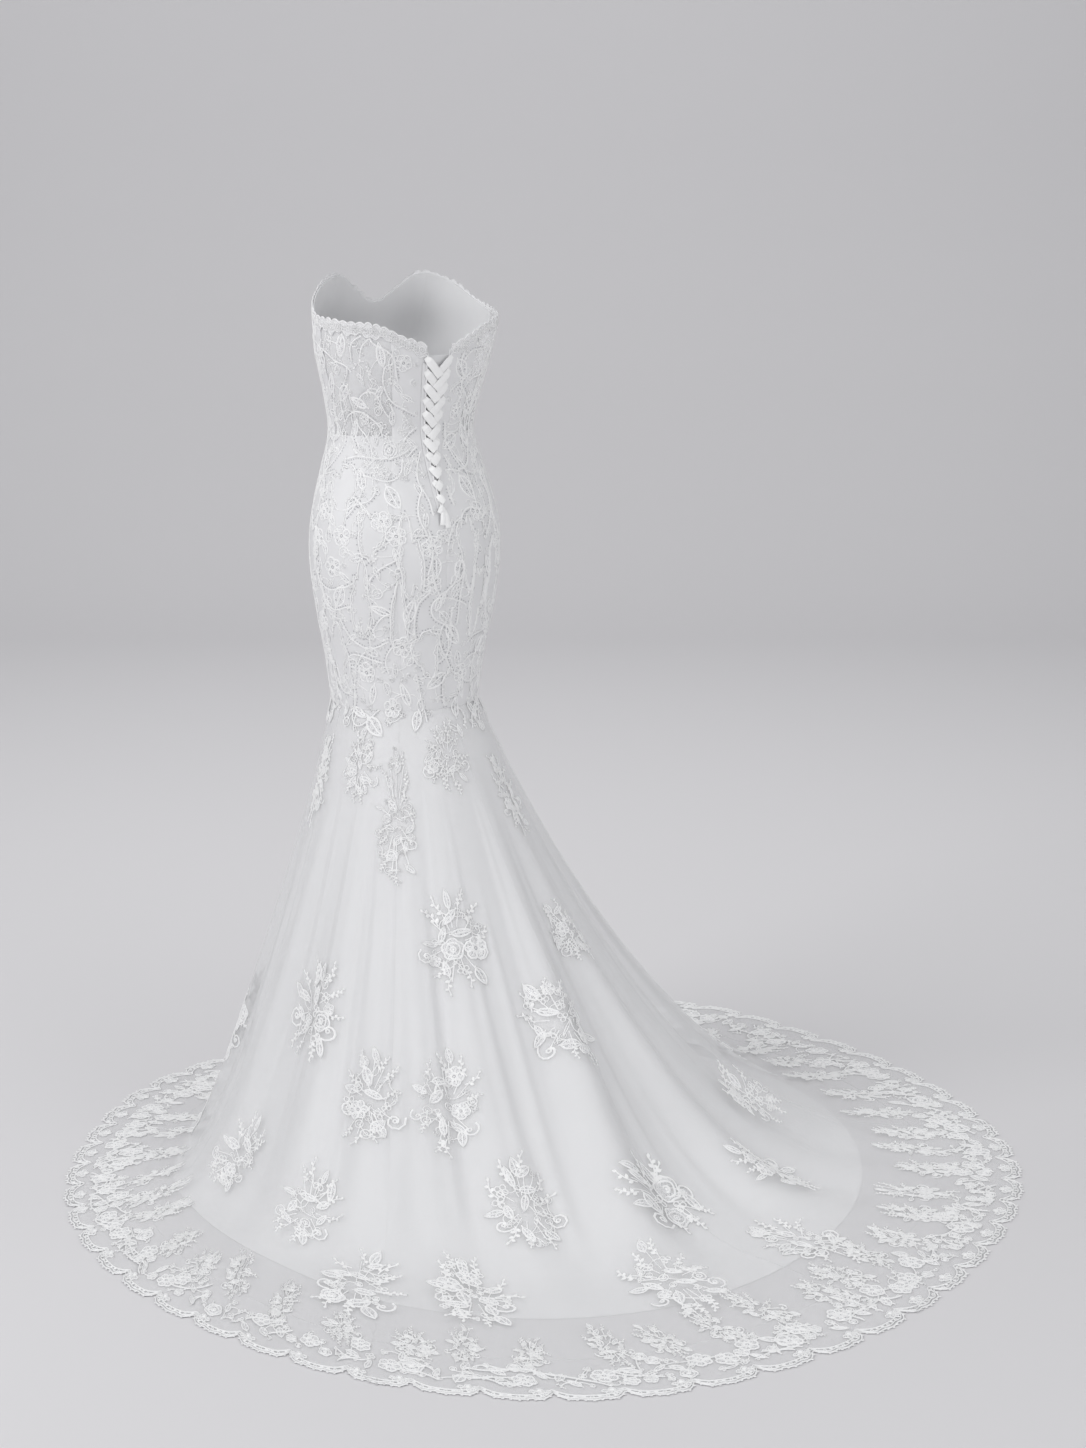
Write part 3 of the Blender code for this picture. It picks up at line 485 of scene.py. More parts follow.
class LaceDrawing:
    """Raised lace drawn flat.

    Each point has its place across and up the cloth, its lift over the cloth and its stitch tone, which
    is 1 on a cord's ridge (painted highlight), 0 at its foot (painted shade), FILL in a net filling and -1 in an
    eyelet (painted shadow).
    """

    def __init__(self) -> None:
        """Start an empty drawing."""
        self.rows: list = []
        self.quads: list = []
        self.tris: list = []
        self.count = 0

    def keep(self, rows: np.ndarray, quads: np.ndarray, tris: np.ndarray) -> None:
        """Add points and the faces between them."""
        self.rows.append(np.asarray(rows, float).reshape(-1, 4))
        self.quads.append(np.asarray(quads, int).reshape(-1, 4) + self.count)
        self.tris.append(np.asarray(tris, int).reshape(-1, 3) + self.count)
        self.count += len(self.rows[-1])

    def arrays(self) -> tuple:
        """Points, four-sided faces and three-sided faces of the whole drawing."""
        self.rows = [np.concatenate(self.rows)]
        self.quads = [np.concatenate(self.quads)]
        self.tris = [np.concatenate(self.tris)]
        return self.rows[0], self.quads[0], self.tris[0]

    def cord(self, path: np.ndarray, width: float, height: float = 0.0013, closed: bool = False) -> None:
        """Add a raised cord, with painted highlight on its ridge and painted shade at its feet.

        Args:
            path: Its middle line, one point a row.
            width: Its width.
            height: How high its ridge stands.
            closed: Whether it ends where it starts.
        """
        path = np.asarray(path, float)
        number = len(path)
        if closed:
            along = np.roll(path, -1, 0) - np.roll(path, 1, 0)
        else:
            along = np.gradient(path, axis=0)
        along = unit(along)
        side = np.stack([-along[:, 1], along[:, 0]], -1) * (0.5 * width)
        # feet take the painted shade tone 0, the ridge the painted highlight tone 1
        foot = np.zeros((number, 2))
        ridge = np.tile([height, 1.0], (number, 1))
        left = np.hstack([path + side, foot])
        middle = np.hstack([path, ridge])
        right = np.hstack([path - side, foot])
        rows = np.stack([left, middle, right], 1).reshape(-1, 4)
        if not closed:
            rows[1, 2] *= 0.4
            rows[-2, 2] *= 0.4
        first = np.arange(number if closed else number - 1) * 3
        after = (first + 3) % (number * 3)
        left_faces = np.stack([first + 1, after + 1, after, first], -1)
        right_faces = np.stack([first + 2, after + 2, after + 1, first + 1], -1)
        self.keep(rows, np.concatenate([left_faces, right_faces]), np.zeros((0, 3)))

    def dome(self, outline: np.ndarray, height: float, stitch_and_painted_shade: float = FILL) -> None:
        """Fill a closed outline with a low dome, of fine net or of close stitches; tones near 1 give close stitches
        the painted highlight colour.
        """
        outline = np.asarray(outline, float)
        after = np.roll(outline, -1, 0)
        turn = float((outline[:, 0] * after[:, 1] - outline[:, 1] * after[:, 0]).sum())
        if turn < 0:
            outline = outline[::-1]
        number = len(outline)
        rim = np.hstack([outline, np.tile([0.3 * height, stitch_and_painted_shade], (number, 1))])
        rows = np.vstack([rim, [[*outline.mean(0), height, stitch_and_painted_shade]]])
        index = np.arange(number)
        tris = np.stack([np.full(number, number), index, (index + 1) % number], -1)
        self.keep(rows, np.zeros((0, 4)), tris)

    def painted_eyelet_shadow(self, x: float, y: float, radius: float, lift: float = 0.0011) -> None:
        """Add an eyelet: a small dark disc of painted shadow that stands for the hole."""
        angle = np.arange(6) * math.pi / 3
        ring = np.stack([x + radius * np.cos(angle), y + radius * np.sin(angle)], -1)
        rows = np.hstack([ring, np.tile([lift, -1.0], (6, 1))])
        self.keep(rows, [[0, 1, 2, 3], [0, 3, 4, 5]], np.zeros((0, 3)))

    def place(self, other: "LaceDrawing", x: float, y: float, turn: float, scale: float, mirror: bool) -> None:
        """Add a copy of another drawing.

        Args:
            other: The drawing to copy.
            x: Place across.
            y: Place up the cloth.
            turn: Turn in radians.
            scale: Size against the drawing's own.
            mirror: Whether it is turned over.
        """
        rows, quads, tris = other.arrays()
        flip = -1.0 if mirror else 1.0
        across = rows[:, 0] * scale * flip
        along = rows[:, 1] * scale
        moved = rows.copy()
        moved[:, 0] = x + across * math.cos(turn) - along * math.sin(turn)
        moved[:, 1] = y + across * math.sin(turn) + along * math.cos(turn)
        if mirror:
            quads, tris = quads[:, ::-1], tris[:, ::-1]
        self.keep(moved, quads, tris)


def circle(x: float, y: float, radius: float, steps: int = 9) -> np.ndarray:
    """Points round a circle."""
    angle = np.arange(steps) * 2 * math.pi / steps
    return np.stack([x + radius * np.cos(angle), y + radius * np.sin(angle)], -1)


def petal_outline(length: float, width: float, tip: float = 0.35, steps: int = 5) -> np.ndarray:
    """Outline of a petal or leaf that grows up from the origin; tip is how blunt its end is."""
    share = np.linspace(0, 1, steps + 1)
    half = 0.5 * width * np.sin(math.pi * share ** (0.8 + 0.5 * tip)) ** (0.9 - 0.4 * tip)
    right = np.stack([half, share * length], -1)
    left = np.stack([-half, share * length], -1)[::-1]
    return np.concatenate([right, left[1:-1]])


@dataclass
class MotifBook:
    """The few plain lace motifs that every piece of lace is made of, at a radius of 1."""

    cord: float = 0.175
    flowers: list = field(default_factory=list)
    leaves: list = field(default_factory=list)
    rings: list = field(default_factory=list)
    scrolls: list = field(default_factory=list)
    twigs: list = field(default_factory=list)

    def __post_init__(self) -> None:
        """Draw the motifs."""
        for petals, blunt in ((5, 0.9), (6, 0.7), (5, 0.5)):
            self.flowers.append(self.flower(petals, blunt))
        self.flowers.append(self.rose())
        for width, holes in ((0.85, 3), (0.65, 2), (1.05, 4)):
            self.leaves.append(self.leaf(width, holes))
        for count in (1, 3, 4):
            self.rings.append(self.ring_cluster(count))
        for turns in (0.8, 1.2):
            self.scrolls.append(self.scroll(turns))
        for buds in (4, 6):
            self.twigs.append(self.twig(buds))

    def flower(self, petals: int, blunt: float) -> LaceDrawing:
        """Open flower: corded petals round a ring."""
        drawing = LaceDrawing()
        for number in range(petals):
            outline = petal_outline(0.74, 1.45 * math.sin(math.pi / petals), blunt)
            outline[:, 1] += 0.26
            one = LaceDrawing()
            one.dome(outline, 0.0005)
            one.cord(outline, self.cord, 0.0014, closed=True)
            one.cord([(0, 0.34), (0.03, 0.56), (0, 0.76)], 0.7 * self.cord, 0.0009)
            if number % 2 == 0:
                one.painted_eyelet_shadow(0.11, 0.6, 0.055, 0.0008)
            drawing.place(one, 0, 0, 2 * math.pi * number / petals, 1, False)
        # dark disc of painted shadow under the flower's centre
        drawing.painted_eyelet_shadow(0, 0, 0.17, 0.0005)
        drawing.dome(circle(0, 0, 0.09, 6), 0.0013, 1.0)
        drawing.cord(circle(0, 0, 0.24), self.cord, 0.0015, closed=True)
        return drawing

    def rose(self) -> LaceDrawing:
        """Full flower: three wavy rings round an eye."""
        drawing = LaceDrawing()
        angle = np.arange(20) * 2 * math.pi / 20
        for size, wave, lobes in ((0.92, 0.10, 5), (0.60, 0.07, 4)):
            reach = size * (1 - wave + wave * np.abs(np.cos(0.5 * lobes * angle + size)) * 2)
            ring = np.stack([reach * np.cos(angle), reach * np.sin(angle)], -1)
            if size > 0.8:
                drawing.dome(ring, 0.0004)
            drawing.cord(ring, self.cord, 0.0014, closed=True)
        for number in range(5):
            turn = 2 * math.pi * number / 5 + 0.4
            drawing.painted_eyelet_shadow(0.42 * math.cos(turn), 0.42 * math.sin(turn), 0.055, 0.0008)
        drawing.cord(circle(0, 0, 0.24, 8), self.cord, 0.0015, closed=True)
        drawing.dome(circle(0, 0, 0.10, 6), 0.0013, 1.0)
        return drawing

    def leaf(self, width: float, holes: int) -> LaceDrawing:
        """Pointed leaf with a midrib and a few eyelets, dark discs of painted shadow."""
        drawing = LaceDrawing()
        outline = petal_outline(2.0, width, 0.1, 6)
        outline[:, 1] -= 1.0
        drawing.dome(outline, 0.0005)
        drawing.cord(outline, self.cord, 0.0013, closed=True)
        drawing.cord([(0, -1.2), (0.04, -0.3), (-0.02, 0.45), (0, 0.85)], self.cord * 0.8)
        for hole in range(holes):
            place = -0.50 + 0.33 * hole
            drawing.painted_eyelet_shadow(0.2 * width * (1 if hole % 2 else -1), place, 0.060, 0.0008)
        return drawing

    def ring_cluster(self, count: int) -> LaceDrawing:
        """One open ring, or a cluster of them."""
        drawing = LaceDrawing()
        if count == 1:
            drawing.cord(circle(0, 0, 0.8, 10), self.cord * 1.3, closed=True)
            drawing.cord(circle(0, 0, 0.36, 7), self.cord, closed=True)
            return drawing
        for number in range(count):
            turn = 2 * math.pi * number / count
            middle = (0.52 * math.cos(turn), 0.52 * math.sin(turn))
            drawing.cord(circle(*middle, 0.40, 8), self.cord * 1.2, closed=True)
        return drawing

    def scroll(self, turns: float) -> LaceDrawing:
        """Stem that curls in to a small ring."""
        drawing = LaceDrawing()
        share = np.linspace(0, 1, 11)
        angle = 2 * math.pi * turns * share
        reach = 0.85 * (1 - share) + 0.22
        drawing.cord(np.stack([reach * np.cos(angle), reach * np.sin(angle)], -1), self.cord * 1.3)
        drawing.cord(circle(0, 0, 0.2, 6), self.cord * 1.1, closed=True)
        return drawing

    def twig(self, buds: int) -> LaceDrawing:
        """Bent stem that grows up, with small buds on both sides and one at its end."""
        drawing = LaceDrawing()
        share = np.linspace(0, 1, 8)
        bend = 0.30 * np.sin(math.pi * share)
        stem = np.stack([bend, 2 * share - 1], -1)
        drawing.cord(stem, self.cord * 0.8)
        for bud in range(buds):
            at = (bud + 1) / buds
            outline = petal_outline(0.55, 0.30, 0.6, 3)
            one = LaceDrawing()
            one.dome(outline, 0.0012, 0.8)
            one.cord(outline, self.cord * 0.6, 0.0010, closed=True)
            turn = 0.0 if bud == buds - 1 else (1.0 if bud % 2 else -1.0)
            drawing.place(one, 0.30 * math.sin(math.pi * at), 2 * at - 1.1, turn, 1 - 0.3 * at, False)
        return drawing


@dataclass(frozen=True)
class Spot:
    """Place and size of one motif in a flat drawing."""

    x: float
    y: float
    radius: float
    kind: str


@dataclass
class Packer:
    """Packs motifs of falling size in a flat region, with little overlap."""

    rng: np.random.Generator
    allowed: Callable
    box: tuple
    wrap: float = 0.0
    overlap: float = 0.86
    spots: list = field(default_factory=list)

    def clear(self, x: float, y: float, radius: float) -> bool:
        """Whether a new motif would stay clear of those that are there."""
        if not self.spots:
            return True
        if self._stale():
            self.known = np.array([(spot.x, spot.y, spot.radius) for spot in self.spots])
        across = np.abs(self.known[:, 0] - x)
        if self.wrap:
            across = np.minimum(across, self.wrap - across)
        gap = np.hypot(across, self.known[:, 1] - y)
        return bool((gap > (self.known[:, 2] + radius) * self.overlap).all())

    def _stale(self) -> bool:
        """Whether spots were added since the array of them was made."""
        return not hasattr(self, "known") or len(self.known) != len(self.spots)

    def fill(self, kind: str, low: float, high: float, tries: int) -> None:
        """Throw motifs of one kind and keep those that fit.

        Args:
            kind: Which motif.
            low: Smallest radius.
            high: Largest radius.
            tries: How many are thrown.
        """
        x0, y0, x1, y1 = self.box
        for _ in range(tries):
            x = self.rng.uniform(x0, x1)
            y = self.rng.uniform(y0, y1)
            radius = self.rng.uniform(low, high)
            if self.allowed(x, y, radius) and self.clear(x, y, radius):
                self.spots.append(Spot(x, y, radius, kind))


@dataclass
class LaceMaker:
    """Draws sprays and all-over lace from the book's motifs."""

    book: MotifBook
    rng: np.random.Generator

    def motif(self, drawing: LaceDrawing, spot: Spot, turn: float) -> None:
        """Draw one motif at its spot."""
        pages = {
            "flower": self.book.flowers,
            "leaf": self.book.leaves,
            "ring": self.book.rings,
            "scroll": self.book.scrolls,
            "twig": self.book.twigs,
        }[spot.kind]
        page = pages[int(self.rng.integers(len(pages)))]
        drawing.place(page, spot.x, spot.y, turn, spot.radius, bool(self.rng.integers(2)))

    def draw(self, spots: Sequence[Spot], lean: float = 0.5) -> LaceDrawing:
        """Draw motifs at all spots, leaves leaning up and down the cloth.

        Args:
            spots: Where and what.
            lean: How far leaves turn from straight, in radians.

        Returns:
            The drawing.
        """
        drawing = LaceDrawing()
        for spot in spots:
            turn = self.rng.uniform(-math.pi, math.pi)
            if spot.kind in ("leaf", "twig"):
                turn = self.rng.normal(0, lean) + math.pi * self.rng.integers(2)
            self.motif(drawing, spot, turn)
        return drawing

    def stems(self, drawing: LaceDrawing, spots: Sequence[Spot], reach: float, width: float) -> None:
        """Join motifs to a near neighbour with curved stems."""
        places = np.array([(spot.x, spot.y) for spot in spots])
        for number, spot in enumerate(spots):
            gap = np.hypot(*(places - places[number]).T)
            gap[number] = 9.0
            near = np.flatnonzero(gap < reach + spot.radius)
            if not len(near):
                continue
            other = places[self.rng.choice(near)]
            along = other - places[number]
            side = np.array([-along[1], along[0]]) * self.rng.uniform(-0.35, 0.35)
            share = np.linspace(0, 1, 6)[:, None]
            path = places[number] + along * share + side * (4 * share * (1 - share))
            drawing.cord(path, width, 0.0010)

    def vine(self, drawing: LaceDrawing, x: float, y: float, heading: float, allowed: Callable) -> None:
        """Draw one long curving cord, with a row of eyelets (dark discs of painted shadow) on one side and loops on
        the other.
        """
        bend = self.rng.normal(0, 8)
        side = self.rng.choice((-1.0, 1.0))
        path = [(x, y)]
        for _ in range(int(self.rng.integers(14, 30))):
            bend = 0.85 * bend + self.rng.normal(0, 14)
            heading += 0.005 * bend
            x += 0.005 * math.cos(heading)
            y += 0.005 * math.sin(heading)
            if not allowed(x, y, 0.003):
                break
            path.append((x, y))
        if len(path) < 6:
            return
        path = np.array(path)
        drawing.cord(path, 0.0028, 0.0016)
        along = unit(np.gradient(path, axis=0))
        beside = np.stack([-along[:, 1], along[:, 0]], -1) * side
        for place, way in zip(path[1:-1], beside[1:-1]):
            drawing.painted_eyelet_shadow(*(place + 0.0032 * way), 0.0010, 0.0004)
        for place, way in zip(path[1:-1:4], beside[1:-1:4]):
            drawing.cord(circle(*(place - 0.0028 * way), 0.0024, 6), 0.0012, 0.0011, closed=True)

    def spray(self, length: float, width: float) -> LaceDrawing:
        """Draw one open spray of flowers and leaves about its middle."""
        tips = self.rng.uniform(0.74, 1.0, 9)
        start = self.rng.uniform(0, 1)

        def inside(x: float, y: float, radius: float) -> bool:
            angle = (math.atan2(x / width, y / length) / (2 * math.pi) + start) % 1
            tip = tips[int(angle * 9)]
            share = math.hypot(2 * x / width, 2 * y / length)
            return share + radius / (0.5 * width) * 0.55 < tip

        packer = Packer(self.rng, inside, (-width / 2, -length / 2, width / 2, length / 2), overlap=0.80)
        packer.fill("flower", 0.15 * width, 0.19 * width, 3)
        packer.fill("leaf", 0.13 * width, 0.18 * width, 30)
        packer.fill("ring", 0.08 * width, 0.12 * width, 50)
        packer.fill("flower", 0.09 * width, 0.12 * width, 10)
        packer.fill("ring", 0.05 * width, 0.07 * width, 60)
        packer.fill("scroll", 0.05 * width, 0.07 * width, 40)
        drawing = self.draw(packer.spots, 0.9)
        self.stems(drawing, packer.spots, 0.25 * width, 0.0017)
        tip_count = 13
        for number in range(tip_count):
            angle = 2 * math.pi * (number + self.rng.uniform(-0.3, 0.3)) / tip_count
            reach = self.rng.uniform(0.74, 0.98)
            x = 0.5 * width * reach * math.sin(angle)
            y = 0.5 * length * reach * math.cos(angle)
            lean = -math.atan2(x, y) + self.rng.normal(0, 0.30)
            kind = ("leaf", "twig", "twig", "twig", "scroll")[number % 5]
            self.motif(drawing, Spot(x, y, width * self.rng.uniform(0.12, 0.17), kind), lean)
            share = np.linspace(0.35, 0.9, 6)[:, None]
            drawing.cord(np.array([[x, y]]) * share, 0.0018, 0.0011)
        return drawing


class SheathMap:
    """Flat drawing of the sheath: across from the front's middle, and height."""

    metres_a_degree = math.radians(0.135)

    def lay(self, across: np.ndarray, height: np.ndarray, lift: np.ndarray) -> np.ndarray:
        """Points of the sheath's outer face, and of the skirt's below the knee seam."""
        azimuth = across / self.metres_a_degree
        turned = azimuth % 360
        beside = np.minimum(np.abs(turned - 120.5), np.abs(turned - 239.5))
        over_net = smooth_step(0, 2, 28.5 - beside) * smooth_step(0, 0.006, height - 1.129)
        base = PANEL_WALL - (PANEL_WALL - NET_WALL) * over_net
        above = BODY.point(azimuth, np.maximum(height, KNEE), base + lift)
        below = height < KNEE
        if below.any():
            travel = travel_down(azimuth[below], KNEE - height[below])
            above[below] = SKIRT.point(Layer.TULLE, azimuth[below], travel, TULLE_WALL + lift[below])
        return above


@dataclass(frozen=True)
class SkirtMap:
    """Flat drawing laid about one place on the tulle, turned by some degrees."""

    azimuth: float
    share: float
    turn: float = 0.0

    def lay(self, across: np.ndarray, up: np.ndarray, lift: np.ndarray) -> np.ndarray:
        """Points of the tulle's outer face."""
        plan = SKIRT.plan(np.array([self.azimuth]))
        travel = self.share * float(plan["tulle"][0])
        reach = float(plan["reach"][0])
        middle = plan["start"][0] + (plan["hem"][0] - plan["start"][0]) * travel
        radius = math.hypot(middle[0], middle[1])
        scale = float(slope_length(np.array([self.azimuth]), np.array([travel]))[0])
        turn = math.radians(self.turn)
        x = across * math.cos(turn) - up * math.sin(turn)
        y = across * math.sin(turn) + up * math.cos(turn)
        azimuth = self.azimuth + np.degrees(x / radius)
        where = np.clip(travel - y / scale, 0.001, 1 - 0.01 / reach)
        return SKIRT.point(Layer.TULLE, azimuth, where, TULLE_WALL + lift)


class BorderMap:
    """Flat drawing of the hem: along the hem, and in from it."""

    def __init__(self) -> None:
        """Measure the hem."""
        self.length = SKIRT.hem_length()

    def place(self, along: np.ndarray, inward: np.ndarray) -> tuple:
        """Azimuth and travel."""
        azimuth = SKIRT.hem_azimuth(along / self.length)
        reach = SKIRT.plan(azimuth)["reach"]
        return azimuth, 1 - inward / reach

    def lay(self, along: np.ndarray, inward: np.ndarray, lift: np.ndarray) -> np.ndarray:
        """Points of the outer face of the border and of the tulle inside it."""
        azimuth, travel = self.place(along, inward)
        return SKIRT.point(Layer.TULLE, azimuth, travel, TULLE_WALL + lift)


def slope_length(azimuth: np.ndarray, travel: np.ndarray) -> np.ndarray:
    """Metres of tulle for one whole travel, at a place."""
    plan = SKIRT.plan(azimuth)
    left = np.maximum(1 - travel / plan["floor_line"], 0.0)
    fall = KNEE * plan["power"] * left ** (plan["power"] - 1) / plan["floor_line"]
    return np.hypot(plan["reach"], fall)


def travel_down(azimuth: np.ndarray, distance: np.ndarray, steps: int = 8) -> np.ndarray:
    """Travel reached at a distance down the tulle from the knee seam."""
    travel = np.zeros_like(distance)
    for _ in range(steps):
        travel = travel + distance / steps / slope_length(azimuth, travel)
    return np.maximum(travel, 1e-4)


def lay_lace(name: str, drawing: LaceDrawing, lay: Callable) -> bpy.types.Object:
    """Make a piece of lace from a drawing, laid on the cloth."""
    rows, quads, tris = drawing.arrays()
    points = lay(rows[:, 0], rows[:, 1], rows[:, 2] + 0.0001)
    piece = make_piece(name, points, quads, tris, rows[:, :2])
    # stitch tone per point, read by the lace material: painted highlight on ridges, painted shade at feet, painted
    # shadow in eyelets, net filling
    stitch_and_painted_shade = piece.data.attributes.new("stitch_and_painted_shade", "FLOAT", "POINT")
    stitch_and_painted_shade.data.foreach_set("value", rows[:, 3].astype(np.float32))
    return piece


# Finishes


class Nodes:
    """Small helper that adds and joins shader nodes."""

    def __init__(self, name: str) -> None:
        """Start a material with an empty Principled shader."""
        self.material = bpy.data.materials.new(name)
        self.material.use_nodes = True
        self.tree = self.material.node_tree
        self.shader = self.tree.nodes["Principled BSDF"]

    def add(self, kind: str, **settings: object) -> bpy.types.Node:
        """Add a node with its properties."""
        node = self.tree.nodes.new(kind)
        for key, value in settings.items():
            setattr(node, key, value)
        return node

    def link(self, source: bpy.types.NodeSocket, target: bpy.types.NodeSocket) -> None:
        """Join two sockets."""
        self.tree.links.new(source, target)

    def scaled_uv(self, scale: tuple) -> bpy.types.NodeSocket:
        """The cloth's own coordinates, in repeats of the given counts a metre."""
        coordinates = self.add("ShaderNodeUVMap", uv_map="cloth")
        mapping = self.add("ShaderNodeMapping")
        mapping.inputs["Scale"].default_value = (*scale, 1.0)
        self.link(coordinates.outputs["UV"], mapping.inputs["Vector"])
        return mapping.outputs["Vector"]

    def bump(self, height: bpy.types.NodeSocket, strength: float, distance: float) -> None:
        """Add a bump after any that is there."""
        node = self.add("ShaderNodeBump")
        node.inputs["Strength"].default_value = strength
        node.inputs["Distance"].default_value = distance
        self.link(height, node.inputs["Height"])
        normal = self.shader.inputs["Normal"]
        if normal.is_linked:
            self.link(normal.links[0].from_socket, node.inputs["Normal"])
        self.link(node.outputs["Normal"], normal)

    def colour_mix(self, factor: bpy.types.NodeSocket, low: tuple, high: tuple) -> None:
        """Run the base colour between two tones."""
        ramp = self.add("ShaderNodeValToRGB")
        ramp.color_ramp.elements[0].color = (*low, 1)
        ramp.color_ramp.elements[1].color = (*high, 1)
        self.link(factor, ramp.inputs["Fac"])
        self.link(ramp.outputs["Color"], self.shader.inputs["Base Color"])


@dataclass(frozen=True)
class SatinFinish:
    """Duchess satin: a smooth sheen over a very fine weave."""

    name: str = "duchess_satin"
    low: tuple = (0.81, 0.81, 0.82)
    high: tuple = (0.86, 0.86, 0.865)
    roughness: float = 0.40
    sheen: float = 0.25
    threads: float = 2600.0

    def build(self) -> bpy.types.Material:
        """Build the material."""
        nodes = Nodes(self.name)
        nodes.shader.inputs["Roughness"].default_value = self.roughness
        nodes.shader.inputs["Sheen Weight"].default_value = self.sheen
        nodes.shader.inputs["Sheen Roughness"].default_value = 0.4
        nodes.shader.inputs["Specular IOR Level"].default_value = 0.35
        cloud = nodes.add("ShaderNodeTexNoise", noise_dimensions="2D")
        cloud.inputs["Scale"].default_value = 1.0
        cloud.inputs["Detail"].default_value = 3.0
        nodes.link(nodes.scaled_uv((18, 9)), cloud.inputs["Vector"])
        nodes.colour_mix(cloud.outputs["Fac"], self.low, self.high)
        weave = nodes.add("ShaderNodeTexNoise", noise_dimensions="2D")
        weave.inputs["Scale"].default_value = 1.0
        weave.inputs["Detail"].default_value = 2.0
        nodes.link(nodes.scaled_uv((self.threads, self.threads / 6)), weave.inputs["Vector"])
        nodes.bump(weave.outputs["Fac"], 0.10, 0.0002)
        slub = nodes.add("ShaderNodeTexNoise", noise_dimensions="2D")
        slub.inputs["Scale"].default_value = 1.0
        slub.inputs["Detail"].default_value = 2.0
        nodes.link(nodes.scaled_uv((30, 7)), slub.inputs["Vector"])
        nodes.bump(slub.outputs["Fac"], 0.12, 0.002)
        return nodes.material


@dataclass(frozen=True)
class NetFinish:
    """Fine hexagonal net, sheer."""

    name: str = "fine_tulle"
    colour: tuple = (0.92, 0.92, 0.93)
    cell: float = 0.0016
    hole_alpha: float = 0.16
    thread_alpha: float = 0.55
    thread_share: float = 0.16

    def build(self) -> bpy.types.Material:
        """Build the material."""
        nodes = Nodes(self.name)
        nodes.shader.inputs["Roughness"].default_value = 0.55
        nodes.shader.inputs["Specular IOR Level"].default_value = 0.3
        nodes.shader.inputs["Sheen Weight"].default_value = 0.6
        cells = nodes.add("ShaderNodeTexVoronoi", voronoi_dimensions="2D", feature="DISTANCE_TO_EDGE")
        cells.inputs["Scale"].default_value = 1.0
        cells.inputs["Randomness"].default_value = 0.35
        nodes.link(nodes.scaled_uv((1 / self.cell, 1 / self.cell)), cells.inputs["Vector"])
        thread = nodes.add("ShaderNodeMapRange")
        thread.inputs["From Min"].default_value = self.thread_share
        thread.inputs["From Max"].default_value = self.thread_share * 0.5
        thread.inputs["To Min"].default_value = self.hole_alpha
        thread.inputs["To Max"].default_value = self.thread_alpha
        nodes.link(cells.outputs["Distance"], thread.inputs["Value"])
        nodes.link(thread.outputs["Result"], nodes.shader.inputs["Alpha"])
        cloud = nodes.add("ShaderNodeTexNoise", noise_dimensions="2D")
        cloud.inputs["Scale"].default_value = 1.0
        nodes.link(nodes.scaled_uv((12, 6)), cloud.inputs["Vector"])
        nodes.colour_mix(cloud.outputs["Fac"], tuple(0.96 * c for c in self.colour), self.colour)
        return nodes.material


